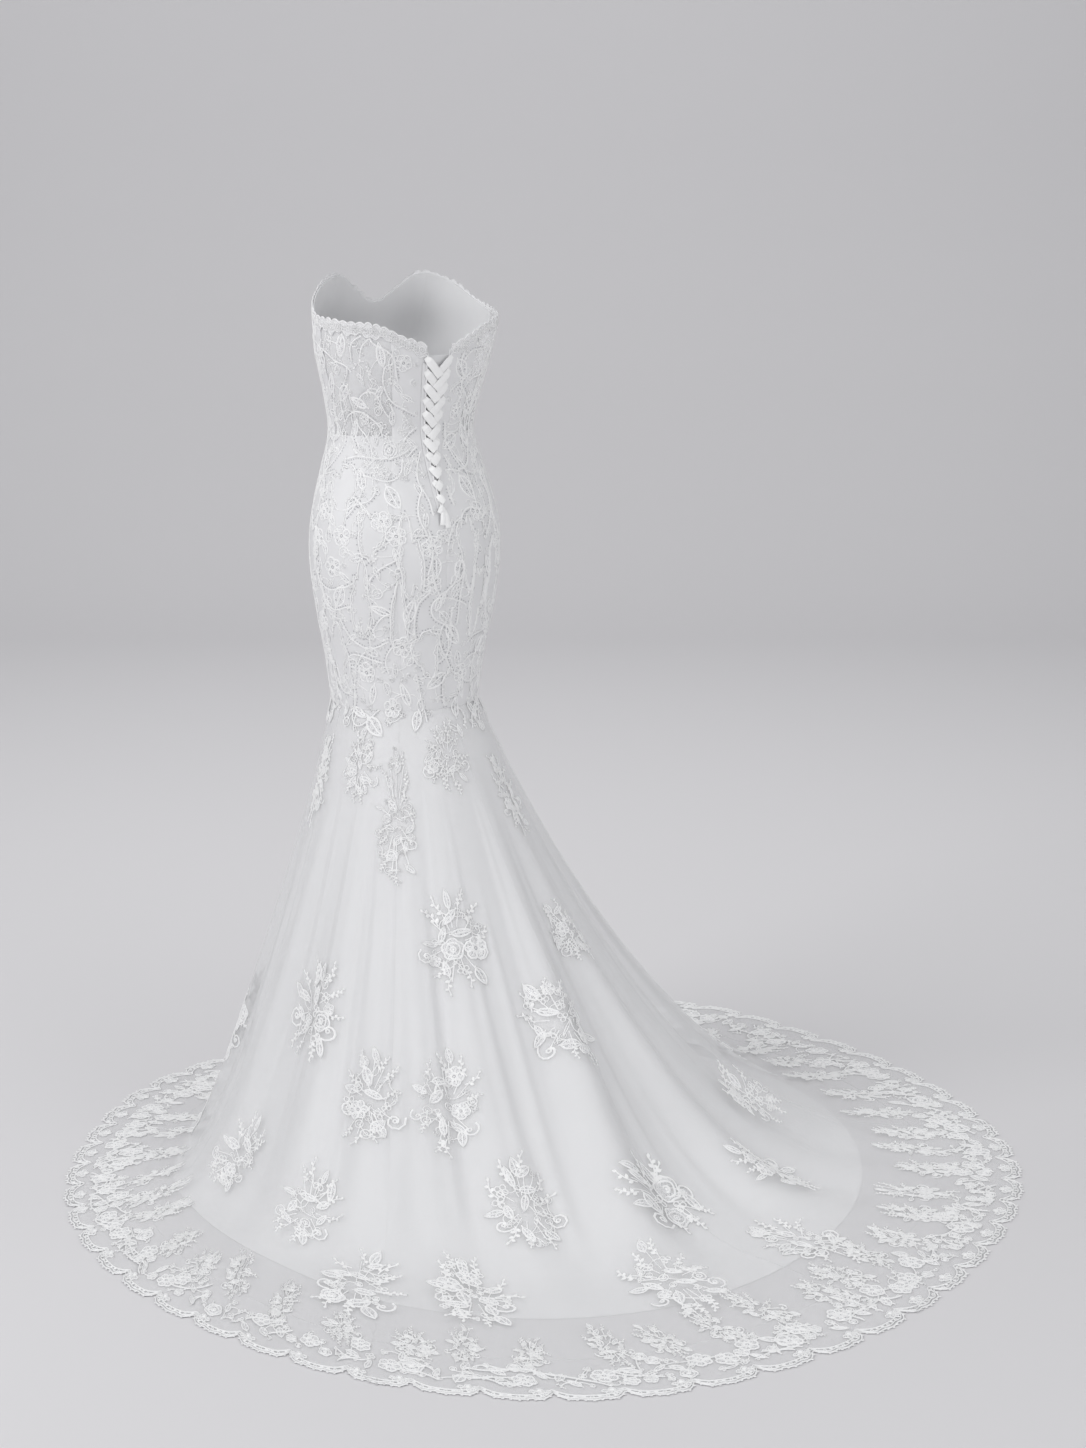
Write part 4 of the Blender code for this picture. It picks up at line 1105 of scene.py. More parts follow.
@dataclass(frozen=True)
class LaceFinish:
    """Corded lace: matt cotton with a visible thread, with painted highlight on cord ridges, painted shade at their
    feet and painted shadow in the eyelet discs.
    """

    name: str = "corded_lace"
    # low is painted shade at the cords' feet, high is painted highlight on their ridges
    low: tuple = (0.80, 0.80, 0.81)
    high: tuple = (0.99, 0.99, 0.99)
    filling: tuple = (0.90, 0.90, 0.91)
    # dark tone of the eyelet discs: painted shadow in the holes
    painted_eyelet_shadow: tuple = (0.42, 0.42, 0.44)
    threads: float = 1400.0
    cell: float = 0.0022
    hole_clear: float = 0.75

    def build(self) -> bpy.types.Material:
        """Build the material."""
        nodes = Nodes(self.name)
        nodes.shader.inputs["Roughness"].default_value = 0.62
        nodes.shader.inputs["Sheen Weight"].default_value = 0.2
        nodes.shader.inputs["Specular IOR Level"].default_value = 0.35
        stitch_and_painted_shade = nodes.add("ShaderNodeAttribute", attribute_name="stitch_and_painted_shade")
        span = nodes.add("ShaderNodeMapRange")
        span.inputs["From Min"].default_value = -1.0
        nodes.link(stitch_and_painted_shade.outputs["Fac"], span.inputs["Value"])
        # colour by stitch tone: painted eyelet shadow, net filling, painted shade at cord feet, painted highlight on
        # ridges
        ramp = nodes.add("ShaderNodeValToRGB")
        ramp.color_ramp.elements[0].color = (*self.painted_eyelet_shadow, 1)
        ramp.color_ramp.elements[1].color = (*self.high, 1)
        ramp.color_ramp.elements.new(0.5 * (1 + FILL)).color = (*self.filling, 1)
        ramp.color_ramp.elements.new(0.5).color = (*self.low, 1)
        nodes.link(span.outputs["Result"], ramp.inputs["Fac"])
        nodes.link(ramp.outputs["Color"], nodes.shader.inputs["Base Color"])
        in_filling = nodes.add("ShaderNodeMath", operation="COMPARE")
        in_filling.inputs[1].default_value = FILL
        in_filling.inputs[2].default_value = 0.1
        nodes.link(stitch_and_painted_shade.outputs["Fac"], in_filling.inputs[0])
        mesh = nodes.add("ShaderNodeTexVoronoi", voronoi_dimensions="2D", feature="DISTANCE_TO_EDGE")
        mesh.inputs["Scale"].default_value = 1.0
        nodes.link(nodes.scaled_uv((1 / self.cell, 1 / self.cell)), mesh.inputs["Vector"])
        hole = nodes.add("ShaderNodeMapRange")
        hole.inputs["From Min"].default_value = 0.12
        hole.inputs["From Max"].default_value = 0.24
        hole.inputs["To Max"].default_value = self.hole_clear
        nodes.link(mesh.outputs["Distance"], hole.inputs["Value"])
        clear = nodes.add("ShaderNodeMath", operation="MULTIPLY")
        nodes.link(hole.outputs["Result"], clear.inputs[0])
        nodes.link(in_filling.outputs["Value"], clear.inputs[1])
        alpha = nodes.add("ShaderNodeMath", operation="SUBTRACT")
        alpha.inputs[0].default_value = 1.0
        nodes.link(clear.outputs["Value"], alpha.inputs[1])
        nodes.link(alpha.outputs["Value"], nodes.shader.inputs["Alpha"])
        thread = nodes.add("ShaderNodeTexWave", wave_type="BANDS", bands_direction="DIAGONAL")
        thread.inputs["Scale"].default_value = 0.5
        thread.inputs["Distortion"].default_value = 1.5
        nodes.link(nodes.scaled_uv((self.threads, self.threads)), thread.inputs["Vector"])
        nodes.bump(thread.outputs["Fac"], 0.30, 0.0003)
        return nodes.material


@dataclass(frozen=True)
class StageFinish:
    """Seamless paper of the floor and backdrop."""

    name: str = "seamless_paper"
    colour: tuple = (0.70, 0.692, 0.705)

    def build(self) -> bpy.types.Material:
        """Build the material."""
        nodes = Nodes(self.name)
        nodes.shader.inputs["Roughness"].default_value = 0.9
        nodes.shader.inputs["Specular IOR Level"].default_value = 0.1
        coordinates = nodes.add("ShaderNodeTexCoord")
        noise = nodes.add("ShaderNodeTexNoise")
        noise.inputs["Scale"].default_value = 0.6
        nodes.link(coordinates.outputs["Object"], noise.inputs["Vector"])
        nodes.colour_mix(noise.outputs["Fac"], tuple(0.985 * c for c in self.colour), self.colour)
        return nodes.material


@dataclass
class Finishes:
    """All materials of the gown, built once."""

    satin: bpy.types.Material = field(default_factory=lambda: SatinFinish(low=(0.73, 0.73, 0.74), high=(0.78, 0.78, 0.79), roughness=0.5).build())
    underskirt: bpy.types.Material = field(
        default_factory=lambda: SatinFinish(name="underskirt_satin", roughness=0.48).build()
    )
    ribbon: bpy.types.Material = field(
        default_factory=lambda: SatinFinish(
            name="ribbon_satin", low=(0.88, 0.88, 0.88), high=(0.94, 0.94, 0.94), roughness=0.32
        ).build()
    )
    tulle: bpy.types.Material = field(default_factory=lambda: NetFinish().build())
    net: bpy.types.Material = field(
        default_factory=lambda: NetFinish(name="bodice_net", hole_alpha=0.34, thread_alpha=0.75).build()
    )
    lace: bpy.types.Material = field(default_factory=lambda: LaceFinish().build())
    border: bpy.types.Material = field(
        default_factory=lambda: NetFinish(name="border_net", cell=0.0022, hole_alpha=0.14, thread_alpha=0.62).build()
    )
    edging: bpy.types.Material = field(
        default_factory=lambda: NetFinish(name="edging_net", cell=0.0015, hole_alpha=0.55, thread_alpha=0.95).build()
    )
    paper: bpy.types.Material = field(default_factory=lambda: StageFinish().build())


def dress(piece: bpy.types.Object, material: bpy.types.Material, slot: str, *nodes: str) -> bpy.types.Object:
    """Give a piece its finish, its body and the solids that it stands for.

    Args:
        piece: The piece.
        material: Its material.
        slot: Not used.
        nodes: The solids that it replaces.

    Returns:
        The piece.
    """
    piece.data.materials.clear()
    piece.data.materials.append(material)
    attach(piece, "root")
    if nodes:
        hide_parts(*nodes)
    LOG.info("%s: %d faces", piece.name, len(piece.data.polygons))
    return piece


# Sub-assemblies


@dataclass(frozen=True)
class SheathPanel:
    """One princess-cut panel of the sheath."""

    name: str
    start: float
    end: float
    low: float
    high: float
    wall: float = PANEL_WALL

    def azimuths(self, share: np.ndarray, height: np.ndarray) -> np.ndarray:
        """Azimuth across the panel; the back panels stop at the lacing's edge."""
        start = np.full_like(height, self.start)
        end = np.full_like(height, self.end)
        if self.name == "back_left":
            end = BODY.azimuth_off_back(BODY.lacing_half(height), height)
        if self.name == "back_right":
            start = 360 - BODY.azimuth_off_back(BODY.lacing_half(height), height)
        return start + (end - start) * share


@dataclass
class Sheath:
    """Satin and net panels from the neckline to the knee."""

    finishes: Finishes
    columns: int = 26
    rows: int = 84
    waist: float = 1.129
    seam_dip: float = 0.0006
    seam_reach: float = 0.0040
    panels: tuple = (
        SheathPanel("front_centre", -32, 32, 0, 1),
        SheathPanel("side_front_left", 32, 92, 0, 1),
        SheathPanel("side_front_right", -92, -32, 0, 1),
        SheathPanel("side_back_left", 92, 149, 0, 0.5),
        SheathPanel("side_back_right", 211, 268, 0, 0.5),
        SheathPanel("side_net_left", 92, 149, 0.5, 1, NET_WALL),
        SheathPanel("side_net_right", 211, 268, 0.5, 1, NET_WALL),
        SheathPanel("back_left", 149, 180, 0, 1),
        SheathPanel("back_right", 180, 211, 0, 1),
    )

    def heights(self, panel: SheathPanel, azimuth: np.ndarray, share: np.ndarray) -> np.ndarray:
        """Heights of a panel's rows: knee to waist below share 0.5, waist to neckline above."""
        share = panel.low + (panel.high - panel.low) * share
        below = KNEE + (self.waist - KNEE) * np.minimum(share, 0.5) * 2
        above = (BODY.neck(azimuth) - self.waist) * (np.maximum(share, 0.5) - 0.5) * 2
        return below + above

    def grid(self, panel: SheathPanel, out: float) -> np.ndarray:
        """Grid of points of a panel at one depth of its wall, dipped a little along its seams."""
        across = np.linspace(0, 1, self.columns + 1)[None, :]
        rows = max(int(self.rows * (panel.high - panel.low)), 30)
        up = np.linspace(0, 1, rows + 1)[:, None]
        across, up = np.broadcast_arrays(across, up)
        flat_azimuth = panel.start + (panel.end - panel.start) * across
        height = self.heights(panel, flat_azimuth, up)
        azimuth = panel.azimuths(across, height)
        width = 0.13 * math.radians(panel.end - panel.start)
        edge = np.minimum(across, 1 - across) * width
        dip = self.seam_dip * (1 - smooth_step(0.0, self.seam_reach, edge))
        return BODY.point(azimuth, height, out - dip)

    def build(self) -> list:
        """Build the panels."""
        made = []
        for panel in self.panels:
            is_net = panel.wall == NET_WALL
            sides = (True, True, panel.low > 0, panel.high < 1)
            inner = pull_in(self.grid(panel, 0.0), *sides)
            outer = pull_in(self.grid(panel, panel.wall), *sides)
            piece = shell(f"{panel.name}_cloth", inner, outer, cloth_uv(outer))
            material = self.finishes.net if is_net else self.finishes.satin
            dress(piece, material, "bodice_net" if is_net else "satin", panel.name)
            width, length, area = flat_size(outer)
            made.append(piece)
        return made


@dataclass
class Skirt:
    """Satin underskirt and tulle overskirt, in gores."""

    finishes: Finishes
    columns: int = 56
    satin_rows: int = 48
    tulle_rows: int = 64

    def gore(self, layer: Layer, number: int, wall: float, rows: int) -> tuple:
        """Inner and outer grids of one gore."""
        shares = (number + np.linspace(0, 1, self.columns + 1)) / SKIRT_PANELS
        azimuth = SKIRT.hem_azimuth(shares)[None, :]
        plan = SKIRT.plan(azimuth)
        end = plan["satin"] if layer is Layer.SATIN else plan["tulle"]
        down = (np.linspace(0, 1, rows + 1) ** 1.15)[:, None]
        travel = down * end
        azimuth = np.broadcast_to(azimuth, travel.shape)
        sides = (True, True, True, True)
        inner = pull_in(SKIRT.point(layer, azimuth, travel, 0.0), *sides)
        outer = pull_in(SKIRT.point(layer, azimuth, travel, wall), *sides)
        return inner, outer

    def build(self) -> list:
        """Build both layers."""
        made = []
        jobs = (
            (Layer.SATIN, SATIN_WALL, self.satin_rows, self.finishes.underskirt),
            (Layer.TULLE, TULLE_WALL, self.tulle_rows, self.finishes.tulle),
        )
        for layer, wall, rows, material in jobs:
            for number in range(SKIRT_PANELS):
                inner, outer = self.gore(layer, number, wall, rows)
                node = f"{layer.value}_gore_{number + 1}"
                piece = shell(f"{node}_cloth", inner, outer, cloth_uv(outer))
                dress(piece, material, layer.value, node)
                width, length, area = flat_size(outer)
                made.append(piece)
        return made


# Lace pieces


@dataclass
class SheathLace:
    """All-over corded lace of the sheath, with plain satin left between its cascades."""

    finishes: Finishes
    maker: LaceMaker
    # Windows of plain satin: azimuth, height, half width in degrees, half height
    windows: tuple = (
        (112, 1.040, 9, 0.050), (134, 0.985, 6, 0.040), (158, 0.945, 6, 0.055), (150, 0.855, 5, 0.040),
        (126, 0.880, 5, 0.060), (168, 0.800, 7, 0.040), (196, 0.955, 6, 0.050), (205, 0.880, 6, 0.045),
        (188, 0.745, 6, 0.025), (222, 0.905, 6, 0.060), (236, 1.010, 8, 0.045), (248, 0.860, 7, 0.045),
        (98, 0.800, 8, 0.050), (80, 0.960, 9, 0.045), (272, 0.950, 9, 0.045), (60, 0.830, 8, 0.050),
        (296, 0.830, 8, 0.050), (28, 0.930, 8, 0.050), (332, 0.930, 8, 0.045), (0, 0.840, 9, 0.045),
        (10, 1.020, 6, 0.035), (350, 1.060, 6, 0.035), (52, 1.050, 7, 0.035), (308, 1.045, 7, 0.035),
    )
    neck_margin: float = 0.012
    placket_margin: float = 0.011

    def allowed(self, across: float, height: float, radius: float) -> bool:
        """Whether a motif may lie at a place."""
        azimuth = across / SheathMap.metres_a_degree
        if height + radius > float(BODY.neck(np.array(azimuth))) - self.neck_margin:
            return False
        wave = 0.016 * math.sin(math.radians(5 * azimuth)) + 0.013 * math.sin(math.radians(13 * azimuth))
        if height - radius < KNEE - 0.040 + wave:
            return False
        turned = azimuth % 360
        if height > BODY.lacing_foot - 0.02:
            off = abs(turned - 180) * SheathMap.metres_a_degree
            if off - radius * 0.9 < float(BODY.lacing_half(np.array(height))) + self.placket_margin:
                return False
        for number, (middle, level, half_width, half_height) in enumerate(self.windows):
            off = float(turn_between(turned, middle)) / half_width
            rise = (height - level) / half_height
            share = math.hypot(off, rise)
            if share > 1.8:
                continue
            margin = radius / (0.5 * (half_width * SheathMap.metres_a_degree + half_height))
            side = off if (turned - middle + 180) % 360 - 180 > 0 else -off
            if share < self.window_reach(number, math.atan2(rise, side)) + 0.45 * margin:
                return False
        return True

    def window_reach(self, number: int, angle: np.ndarray) -> np.ndarray:
        """How far a plain window reaches at an angle, where 1 is its even oval."""
        wide = 0.16 * np.sin(2 * angle + 1.7 * number) + 0.18 * np.sin(3 * angle + number)
        return 0.90 + wide + 0.12 * np.sin(5 * angle + 2.3 * number) + 0.06 * np.sin(8 * angle + 0.7 * number)

    def window_edge(self, drawing: LaceDrawing, number: int) -> None:
        """Scalloped cord round one plain window, with a plain cord outside it."""
        middle, level, half_width, half_height = self.windows[number]
        angle = np.linspace(0, 2 * math.pi, 145)[:-1]
        reach = self.window_reach(number, angle)
        for extra, bumps, width in ((0.0, 0.0026, 0.0020), (0.0046, 0.0, 0.0025)):
            scallop = extra + bumps * (1 - np.abs(np.sin(18 * angle)))
            x = middle * SheathMap.metres_a_degree
            x = x + (half_width * SheathMap.metres_a_degree * reach + scallop) * np.cos(angle)
            y = level + (half_height * reach + scallop) * np.sin(angle)
            rows = slice(None) if bumps else slice(None, None, 4)
            drawing.cord(np.stack([x, y], -1)[rows], width, 0.0015, closed=True)
        # ring of eyelets outside the cords: dark discs of painted shadow
        for step in range(0, 144, 5):
            x = middle * SheathMap.metres_a_degree
            x += (half_width * SheathMap.metres_a_degree * reach[step] + 0.0076) * math.cos(angle[step])
            y = level + (half_height * reach[step] + 0.0076) * math.sin(angle[step])
            drawing.painted_eyelet_shadow(x, y, 0.0011, 0.0004)

    def build(self) -> list:
        """Build the lace in four parts."""
        around = 360 * SheathMap.metres_a_degree
        packer = Packer(self.maker.rng, self.allowed, (0, 0.64, around, 1.36), wrap=around)
        packer.fill("leaf", 0.0160, 0.0210, 260)
        packer.fill("flower", 0.0135, 0.0170, 160)
        packer.fill("leaf", 0.0110, 0.0140, 900)
        packer.fill("ring", 0.0080, 0.0105, 500)
        packer.fill("flower", 0.0085, 0.0110, 260)
        packer.fill("twig", 0.0090, 0.0120, 900)
        packer.fill("ring", 0.0055, 0.0080, 1600)
        packer.fill("scroll", 0.0050, 0.0070, 1200)
        regions = (
            ("front", (300, 420), "front_centre_cloth"),
            ("left", (60, 130), "side_front_left_cloth"),
            ("back", (130, 230), "back_left_cloth"),
            ("right", (230, 300), "side_front_right_cloth"),
        )
        made = []
        for label, (low, high), cloth in regions:
            spots = []
            for spot in packer.spots:
                azimuth = spot.x / SheathMap.metres_a_degree
                if low <= azimuth < high or low <= azimuth + 360 < high:
                    spots.append(spot)
            drawing = self.maker.draw(spots, 0.6)
            self.maker.stems(drawing, [spot for spot in spots if spot.kind != "scroll"], 0.022, 0.0018)
            for number, window in enumerate(self.windows):
                if low <= window[0] < high or low <= window[0] + 360 < high:
                    self.window_edge(drawing, number)
            for _ in range(int(0.9 * (high - low))):
                x = self.maker.rng.uniform(low, high) * SheathMap.metres_a_degree
                y = self.maker.rng.uniform(0.70, 1.28)
                heading = self.maker.rng.choice((-0.5, 0.5)) * math.pi + self.maker.rng.normal(0, 0.5)
                if self.allowed(x, y, 0.003):
                    self.maker.vine(drawing, x, y, heading, self.allowed)
            piece = lay_lace(f"sheath_lace_{label}", drawing, SheathMap().lay)
            dress(piece, self.finishes.lace, "lace")
            made.append((piece, cloth))
        return made


@dataclass(frozen=True)
class SprayPlace:
    """Place of one applied spray: its node, azimuth, share of the tulle's run, length, width and turn."""

    node: str
    azimuth: float
    share: float
    length: float
    width: float
    turn: float = 0.0


@dataclass
class Sprays:
    """Applied lace sprays of the knee seam and the skirt."""

    finishes: Finishes
    maker: LaceMaker
    places: tuple = (
        SprayPlace("knee_spray_1", 86, 0.085, 0.150, 0.050),
        SprayPlace("knee_spray_2", 122, 0.050, 0.110, 0.060),
        SprayPlace("knee_spray_3", 146, 0.090, 0.240, 0.062),
        SprayPlace("knee_spray_4", 176, 0.040, 0.100, 0.070),
        SprayPlace("knee_spray_5", 212, 0.085, 0.150, 0.056),
        SprayPlace("knee_spray_6", 318, 0.090, 0.140, 0.060),
        SprayPlace("skirt_spray_1", 121, 0.31, 0.150, 0.098),
        SprayPlace("skirt_spray_2", 165, 0.20, 0.150, 0.100),
        SprayPlace("skirt_spray_3", 187, 0.31, 0.170, 0.092, -20),
        SprayPlace("skirt_spray_4", 206, 0.23, 0.110, 0.060, -15),
        SprayPlace("skirt_spray_5", 142, 0.39, 0.150, 0.090),
        SprayPlace("skirt_spray_6", 158, 0.38, 0.170, 0.090, 10),
        SprayPlace("skirt_spray_7", 167, 0.54, 0.170, 0.100),
        SprayPlace("skirt_spray_8", 188, 0.59, 0.160, 0.130, -30),
        SprayPlace("skirt_spray_9", 209, 0.67, 0.160, 0.100, -30),
        SprayPlace("skirt_spray_10", 229, 0.59, 0.140, 0.090, -20),
        SprayPlace("skirt_spray_11", 133, 0.61, 0.150, 0.090, 15),
        SprayPlace("skirt_spray_12", 108, 0.60, 0.130, 0.080, 15),
        SprayPlace("skirt_spray_13", 144, 0.79, 0.190, 0.110, 10),
        SprayPlace("skirt_spray_14", 157, 0.76, 0.200, 0.110),
        SprayPlace("skirt_spray_15", 178, 0.80, 0.200, 0.110),
        SprayPlace("skirt_spray_16", 197, 0.84, 0.180, 0.110, -10),
        SprayPlace("skirt_spray_17", 258, 0.66, 0.150, 0.100),
        SprayPlace("skirt_spray_18", 62, 0.50, 0.140, 0.080),
        SprayPlace("skirt_spray_19", 18, 0.45, 0.140, 0.090),
        SprayPlace("skirt_spray_20", 322, 0.52, 0.150, 0.090),
    )

    def build(self) -> list:
        """Build a piece for each place."""
        made = []
        for place in self.places:
            drawing = self.maker.spray(place.length, place.width)
            spot = SkirtMap(place.azimuth, place.share, -place.turn)
            piece = lay_lace(f"{place.node}_lace", drawing, spot.lay)
            dress(piece, self.finishes.lace, "lace", place.node)
            made.append((piece, place))
        return made


@dataclass
class HemBorder:
    """Scalloped lace border: a net ground, corded edge, dense motifs and sprigs that rise from it."""

    finishes: Finishes
    maker: LaceMaker
    scallop_depth: float = 0.020
    bump_depth: float = 0.004
    bumps: int = 3
    fine_columns: int = 12
    ground_rows: int = 8

    def edge(self, along: np.ndarray) -> np.ndarray:
        """How far the scalloped edge lies in from the hem line."""
        pitch = SKIRT.hem_length() / SCALLOPS
        share = (along / pitch) % 1.0
        deep = self.scallop_depth * np.abs(2 * share - 1) ** 4
        return deep + self.bump_depth * (1 - np.abs(np.sin(math.pi * self.bumps * share)))

    def ground(self, number: int) -> bpy.types.Object:
        """Net ground of one arc of the border."""
        border = BorderMap()
        steps = SCALLOPS * self.fine_columns // SKIRT_PANELS
        along = (number + np.linspace(0, 1, steps + 1)) / SKIRT_PANELS * border.length
        share = np.linspace(0, 1, self.ground_rows + 1)[:, None]
        outer = self.edge(along)[None, :]
        inward = BORDER_WIDTH + (outer - BORDER_WIDTH) * share
        azimuth, travel = border.place(np.broadcast_to(along, inward.shape), inward)
        sides = (True, True, True, False)
        low = pull_in(SKIRT.point(Layer.TULLE, azimuth, travel, 0.0), *sides)
        high = pull_in(SKIRT.point(Layer.TULLE, azimuth, travel, TULLE_WALL), *sides)
        piece = shell(f"hem_ground_{number + 1}", low, high, cloth_uv(high))
        dress(piece, self.finishes.border, "lace", f"hem_lace_{number + 1}")
        width, length, area = flat_size(high)
        return piece

    def corded_edge(self, drawing: LaceDrawing, low: float, high: float) -> None:
        """Cords, rings and picots along the scallops between two places on the hem."""
        pitch = SKIRT.hem_length() / SCALLOPS
        scallops = int(round((high - low) / pitch))
        along = np.linspace(low, high, scallops * 18 + 1)
        edge = self.edge(along)
        inner = edge.copy()
        for inset, width in ((0.0012, 0.0026), (0.0062, 0.0018)):
            inner = edge + inset
            drawing.cord(np.stack([along, inner], -1), width, 0.0015)
        share = (along / pitch) % 1.0
        arch = 0.014 + self.scallop_depth * np.abs(2 * share - 1) ** 3
        drawing.cord(np.stack([along, arch], -1), 0.0024, 0.0015)
        for scallop in range(scallops):
            start = low + scallop * pitch
            for step in range(9):
                x = start + pitch * (step + 0.5) / 9
                y = float(self.edge(np.array(x))) + 0.0098
                if step % 2:
                    drawing.cord(circle(x, y, 0.0026, 6), 0.0013, 0.0012, closed=True)
                else:
                    drawing.dome(circle(x, y, 0.0030, 6), 0.0010, 0.7)
            for step in range(self.bumps * 3):
                x = start + pitch * (step + 0.5) / (self.bumps * 3)
                y = float(self.edge(np.array(x)))
                drawing.cord(circle(x, y - 0.0008, 0.0018, 5), 0.0012, 0.0012, closed=True)
            self.fan(drawing, start + 0.5 * pitch, 0.030)

    def fan(self, drawing: LaceDrawing, x: float, y: float) -> None:
        """Half rosette in the middle of one scallop."""
        drawing.cord(circle(x, y, 0.0050, 8), 0.0018, 0.0014, closed=True)
        drawing.dome(circle(x, y, 0.0036, 6), 0.0012, 0.9)
        for number in range(5):
            angle = math.pi * (number + 0.5) / 5
            outline = petal_outline(0.0105, 0.0075, 0.6, 4)
            outline[:, 1] += 0.0055
            turn = angle + 0.5 * math.pi
            turned = np.stack([
                x + outline[:, 0] * math.cos(turn) - outline[:, 1] * math.sin(turn),
                y + outline[:, 0] * math.sin(turn) + outline[:, 1] * math.cos(turn),
            ], -1)
            drawing.dome(turned, 0.0007)
            drawing.cord(turned, 0.0017, 0.0013, closed=True)

    def top(self, along: float) -> float:
        """How far in the dense motifs reach at a place on the hem."""
        return 0.108 + 0.016 * math.sin(along * 31.0) + 0.014 * math.sin(along * 73.0 + 1.0)

    def build(self) -> list:
        """Build the six arcs of the border."""
        rng = self.maker.rng
        length = SKIRT.hem_length()

        def allowed(x: float, y: float, radius: float) -> bool:
            if y - radius < 0.036 or y + radius > self.top(x):
                return abs(x) < 0
            return True

        packer = Packer(rng, allowed, (0, 0.03, length, 0.16), wrap=length)
        packer.fill("flower", 0.0165, 0.0205, 500)
        packer.fill("leaf", 0.0120, 0.0160, 900)
        packer.fill("flower", 0.0095, 0.0130, 900)
        packer.fill("ring", 0.0065, 0.0090, 1600)
        packer.fill("twig", 0.0070, 0.0100, 1400)
        packer.fill("scroll", 0.0050, 0.0070, 1200)
        made = []
        for number in range(SKIRT_PANELS):
            low = number * length / SKIRT_PANELS
            high = low + length / SKIRT_PANELS
            self.ground(number)
            spots = [spot for spot in packer.spots if low <= spot.x < high]
            drawing = self.maker.draw(spots, 0.8)
            self.maker.stems(drawing, spots, 0.020, 0.0020)
            self.corded_edge(drawing, low, high)
            for _ in range(34):
                heading = rng.choice((0.0, math.pi)) + rng.normal(0, 0.6)
                self.maker.vine(drawing, rng.uniform(low, high), rng.uniform(0.045, 0.100), heading, allowed)
            sprigs = 8 if number in (2, 3) else 7
            for sprig in range(sprigs):
                x = low + (sprig + rng.uniform(0.3, 0.7)) * (high - low) / sprigs
                reach = rng.uniform(0.085, 0.150)
                spray = self.maker.spray(reach, rng.uniform(0.050, 0.070))
                drawing.place(spray, x, 0.105 + 0.42 * reach, rng.normal(0, 0.25), 1, False)
            piece = lay_lace(f"hem_cords_{number + 1}", drawing, BorderMap().lay)
            dress(piece, self.finishes.lace, "lace")
            made.append((piece, f"hem_ground_{number + 1}"))
        return made


@dataclass
class NeckEdging:
    """Small scalloped lace edging along the neckline."""

    finishes: Finishes
    maker: LaceMaker
    pitch: float = 0.014
    below: float = 0.015
    depth: float = 0.0055
    gap: float = 0.0004
    wall: float = 0.0006
    runs: tuple = (("front", -92.0, 92.0), ("left", 92.0, 180.0), ("right", 180.0, 268.0))

    def limits(self, label: str, start: float, end: float) -> tuple:
        """Ends of a run, where the back's runs stop at the lacing."""
        half = float(BODY.azimuth_off_back(BODY.lacing_half(np.array(BODY.lacing_head)) + 0.001, BODY.lacing_head))
        if label == "left":
            return start + 0.1, half
        if label == "right":
            return 360 - half, end - 0.1
        return start + 0.1, end - 0.1

    def lay(self, across: np.ndarray, up: np.ndarray, lift: np.ndarray) -> np.ndarray:
        """Points outside the panels, at heights from the cut neckline."""
        azimuth = across / SheathMap.metres_a_degree
        return BODY.point(azimuth, BODY.neck(azimuth) + up, PANEL_WALL + self.gap + lift)

    def scallop(self, across: np.ndarray) -> np.ndarray:
        """Height of the scalloped edge over the cut neckline."""
        phase = across / self.pitch + 0.22 * np.sin(37 * across)
        return 0.001 + self.depth * (0.85 + 0.25 * np.sin(83 * across)) * np.abs(np.sin(math.pi * phase)) ** 0.6

    def foot(self, across: np.ndarray) -> np.ndarray:
        """Height of the uneven lower edge, under the cut neckline."""
        return -self.below + 0.0025 * np.sin(171 * across) + 0.0020 * np.sin(397 * across)

    def build(self) -> list:
        """Build the three runs."""
        made = []
        for label, start, end in self.runs:
            low, high = self.limits(label, start, end)
            first, last = low * SheathMap.metres_a_degree, high * SheathMap.metres_a_degree
            steps = max(int((last - first) / self.pitch * 8), 24)
            across = np.linspace(first, last, steps + 1)
            share = np.linspace(0, 1, 5)[:, None]
            up = self.foot(across) + (self.scallop(across) - self.foot(across))[None, :] * share
            wide = np.broadcast_to(across, up.shape)
            inner = self.lay(wide, up, np.zeros_like(up))
            outer = self.lay(wide, up, np.full_like(up, self.wall))
            ground = shell(f"neck_ground_{label}", inner, outer, cloth_uv(outer))
            dress(ground, self.finishes.edging, "lace", f"neck_lace_{label}")
            width, length, area = flat_size(outer)
            drawing = LaceDrawing()
            drawing.cord(np.stack([across, self.scallop(across) - 0.001], -1), 0.0020, 0.0012)
            drawing.cord(np.stack([across, self.foot(across) + 0.001], -1), 0.0014, 0.0008)
            count = int((last - first) / self.pitch)
            for number in range(count):
                x = first + (number + 0.5) * (last - first) / count
                page = self.maker.book.flowers[number % 3] if number % 2 else self.maker.book.rings[number % 3]
                drawing.place(page, x, -0.0055, number * 1.3, 0.0062, False)
                drawing.cord(circle(x + 0.5 * self.pitch, -0.009, 0.0026, 6), 0.0013, 0.0010, closed=True)
            cords = lay_lace(f"neck_cords_{label}", drawing, lambda x, y, z: self.lay(x, y, z + self.wall))
            dress(cords, self.finishes.lace, "lace")
            made.append(ground)
        return made


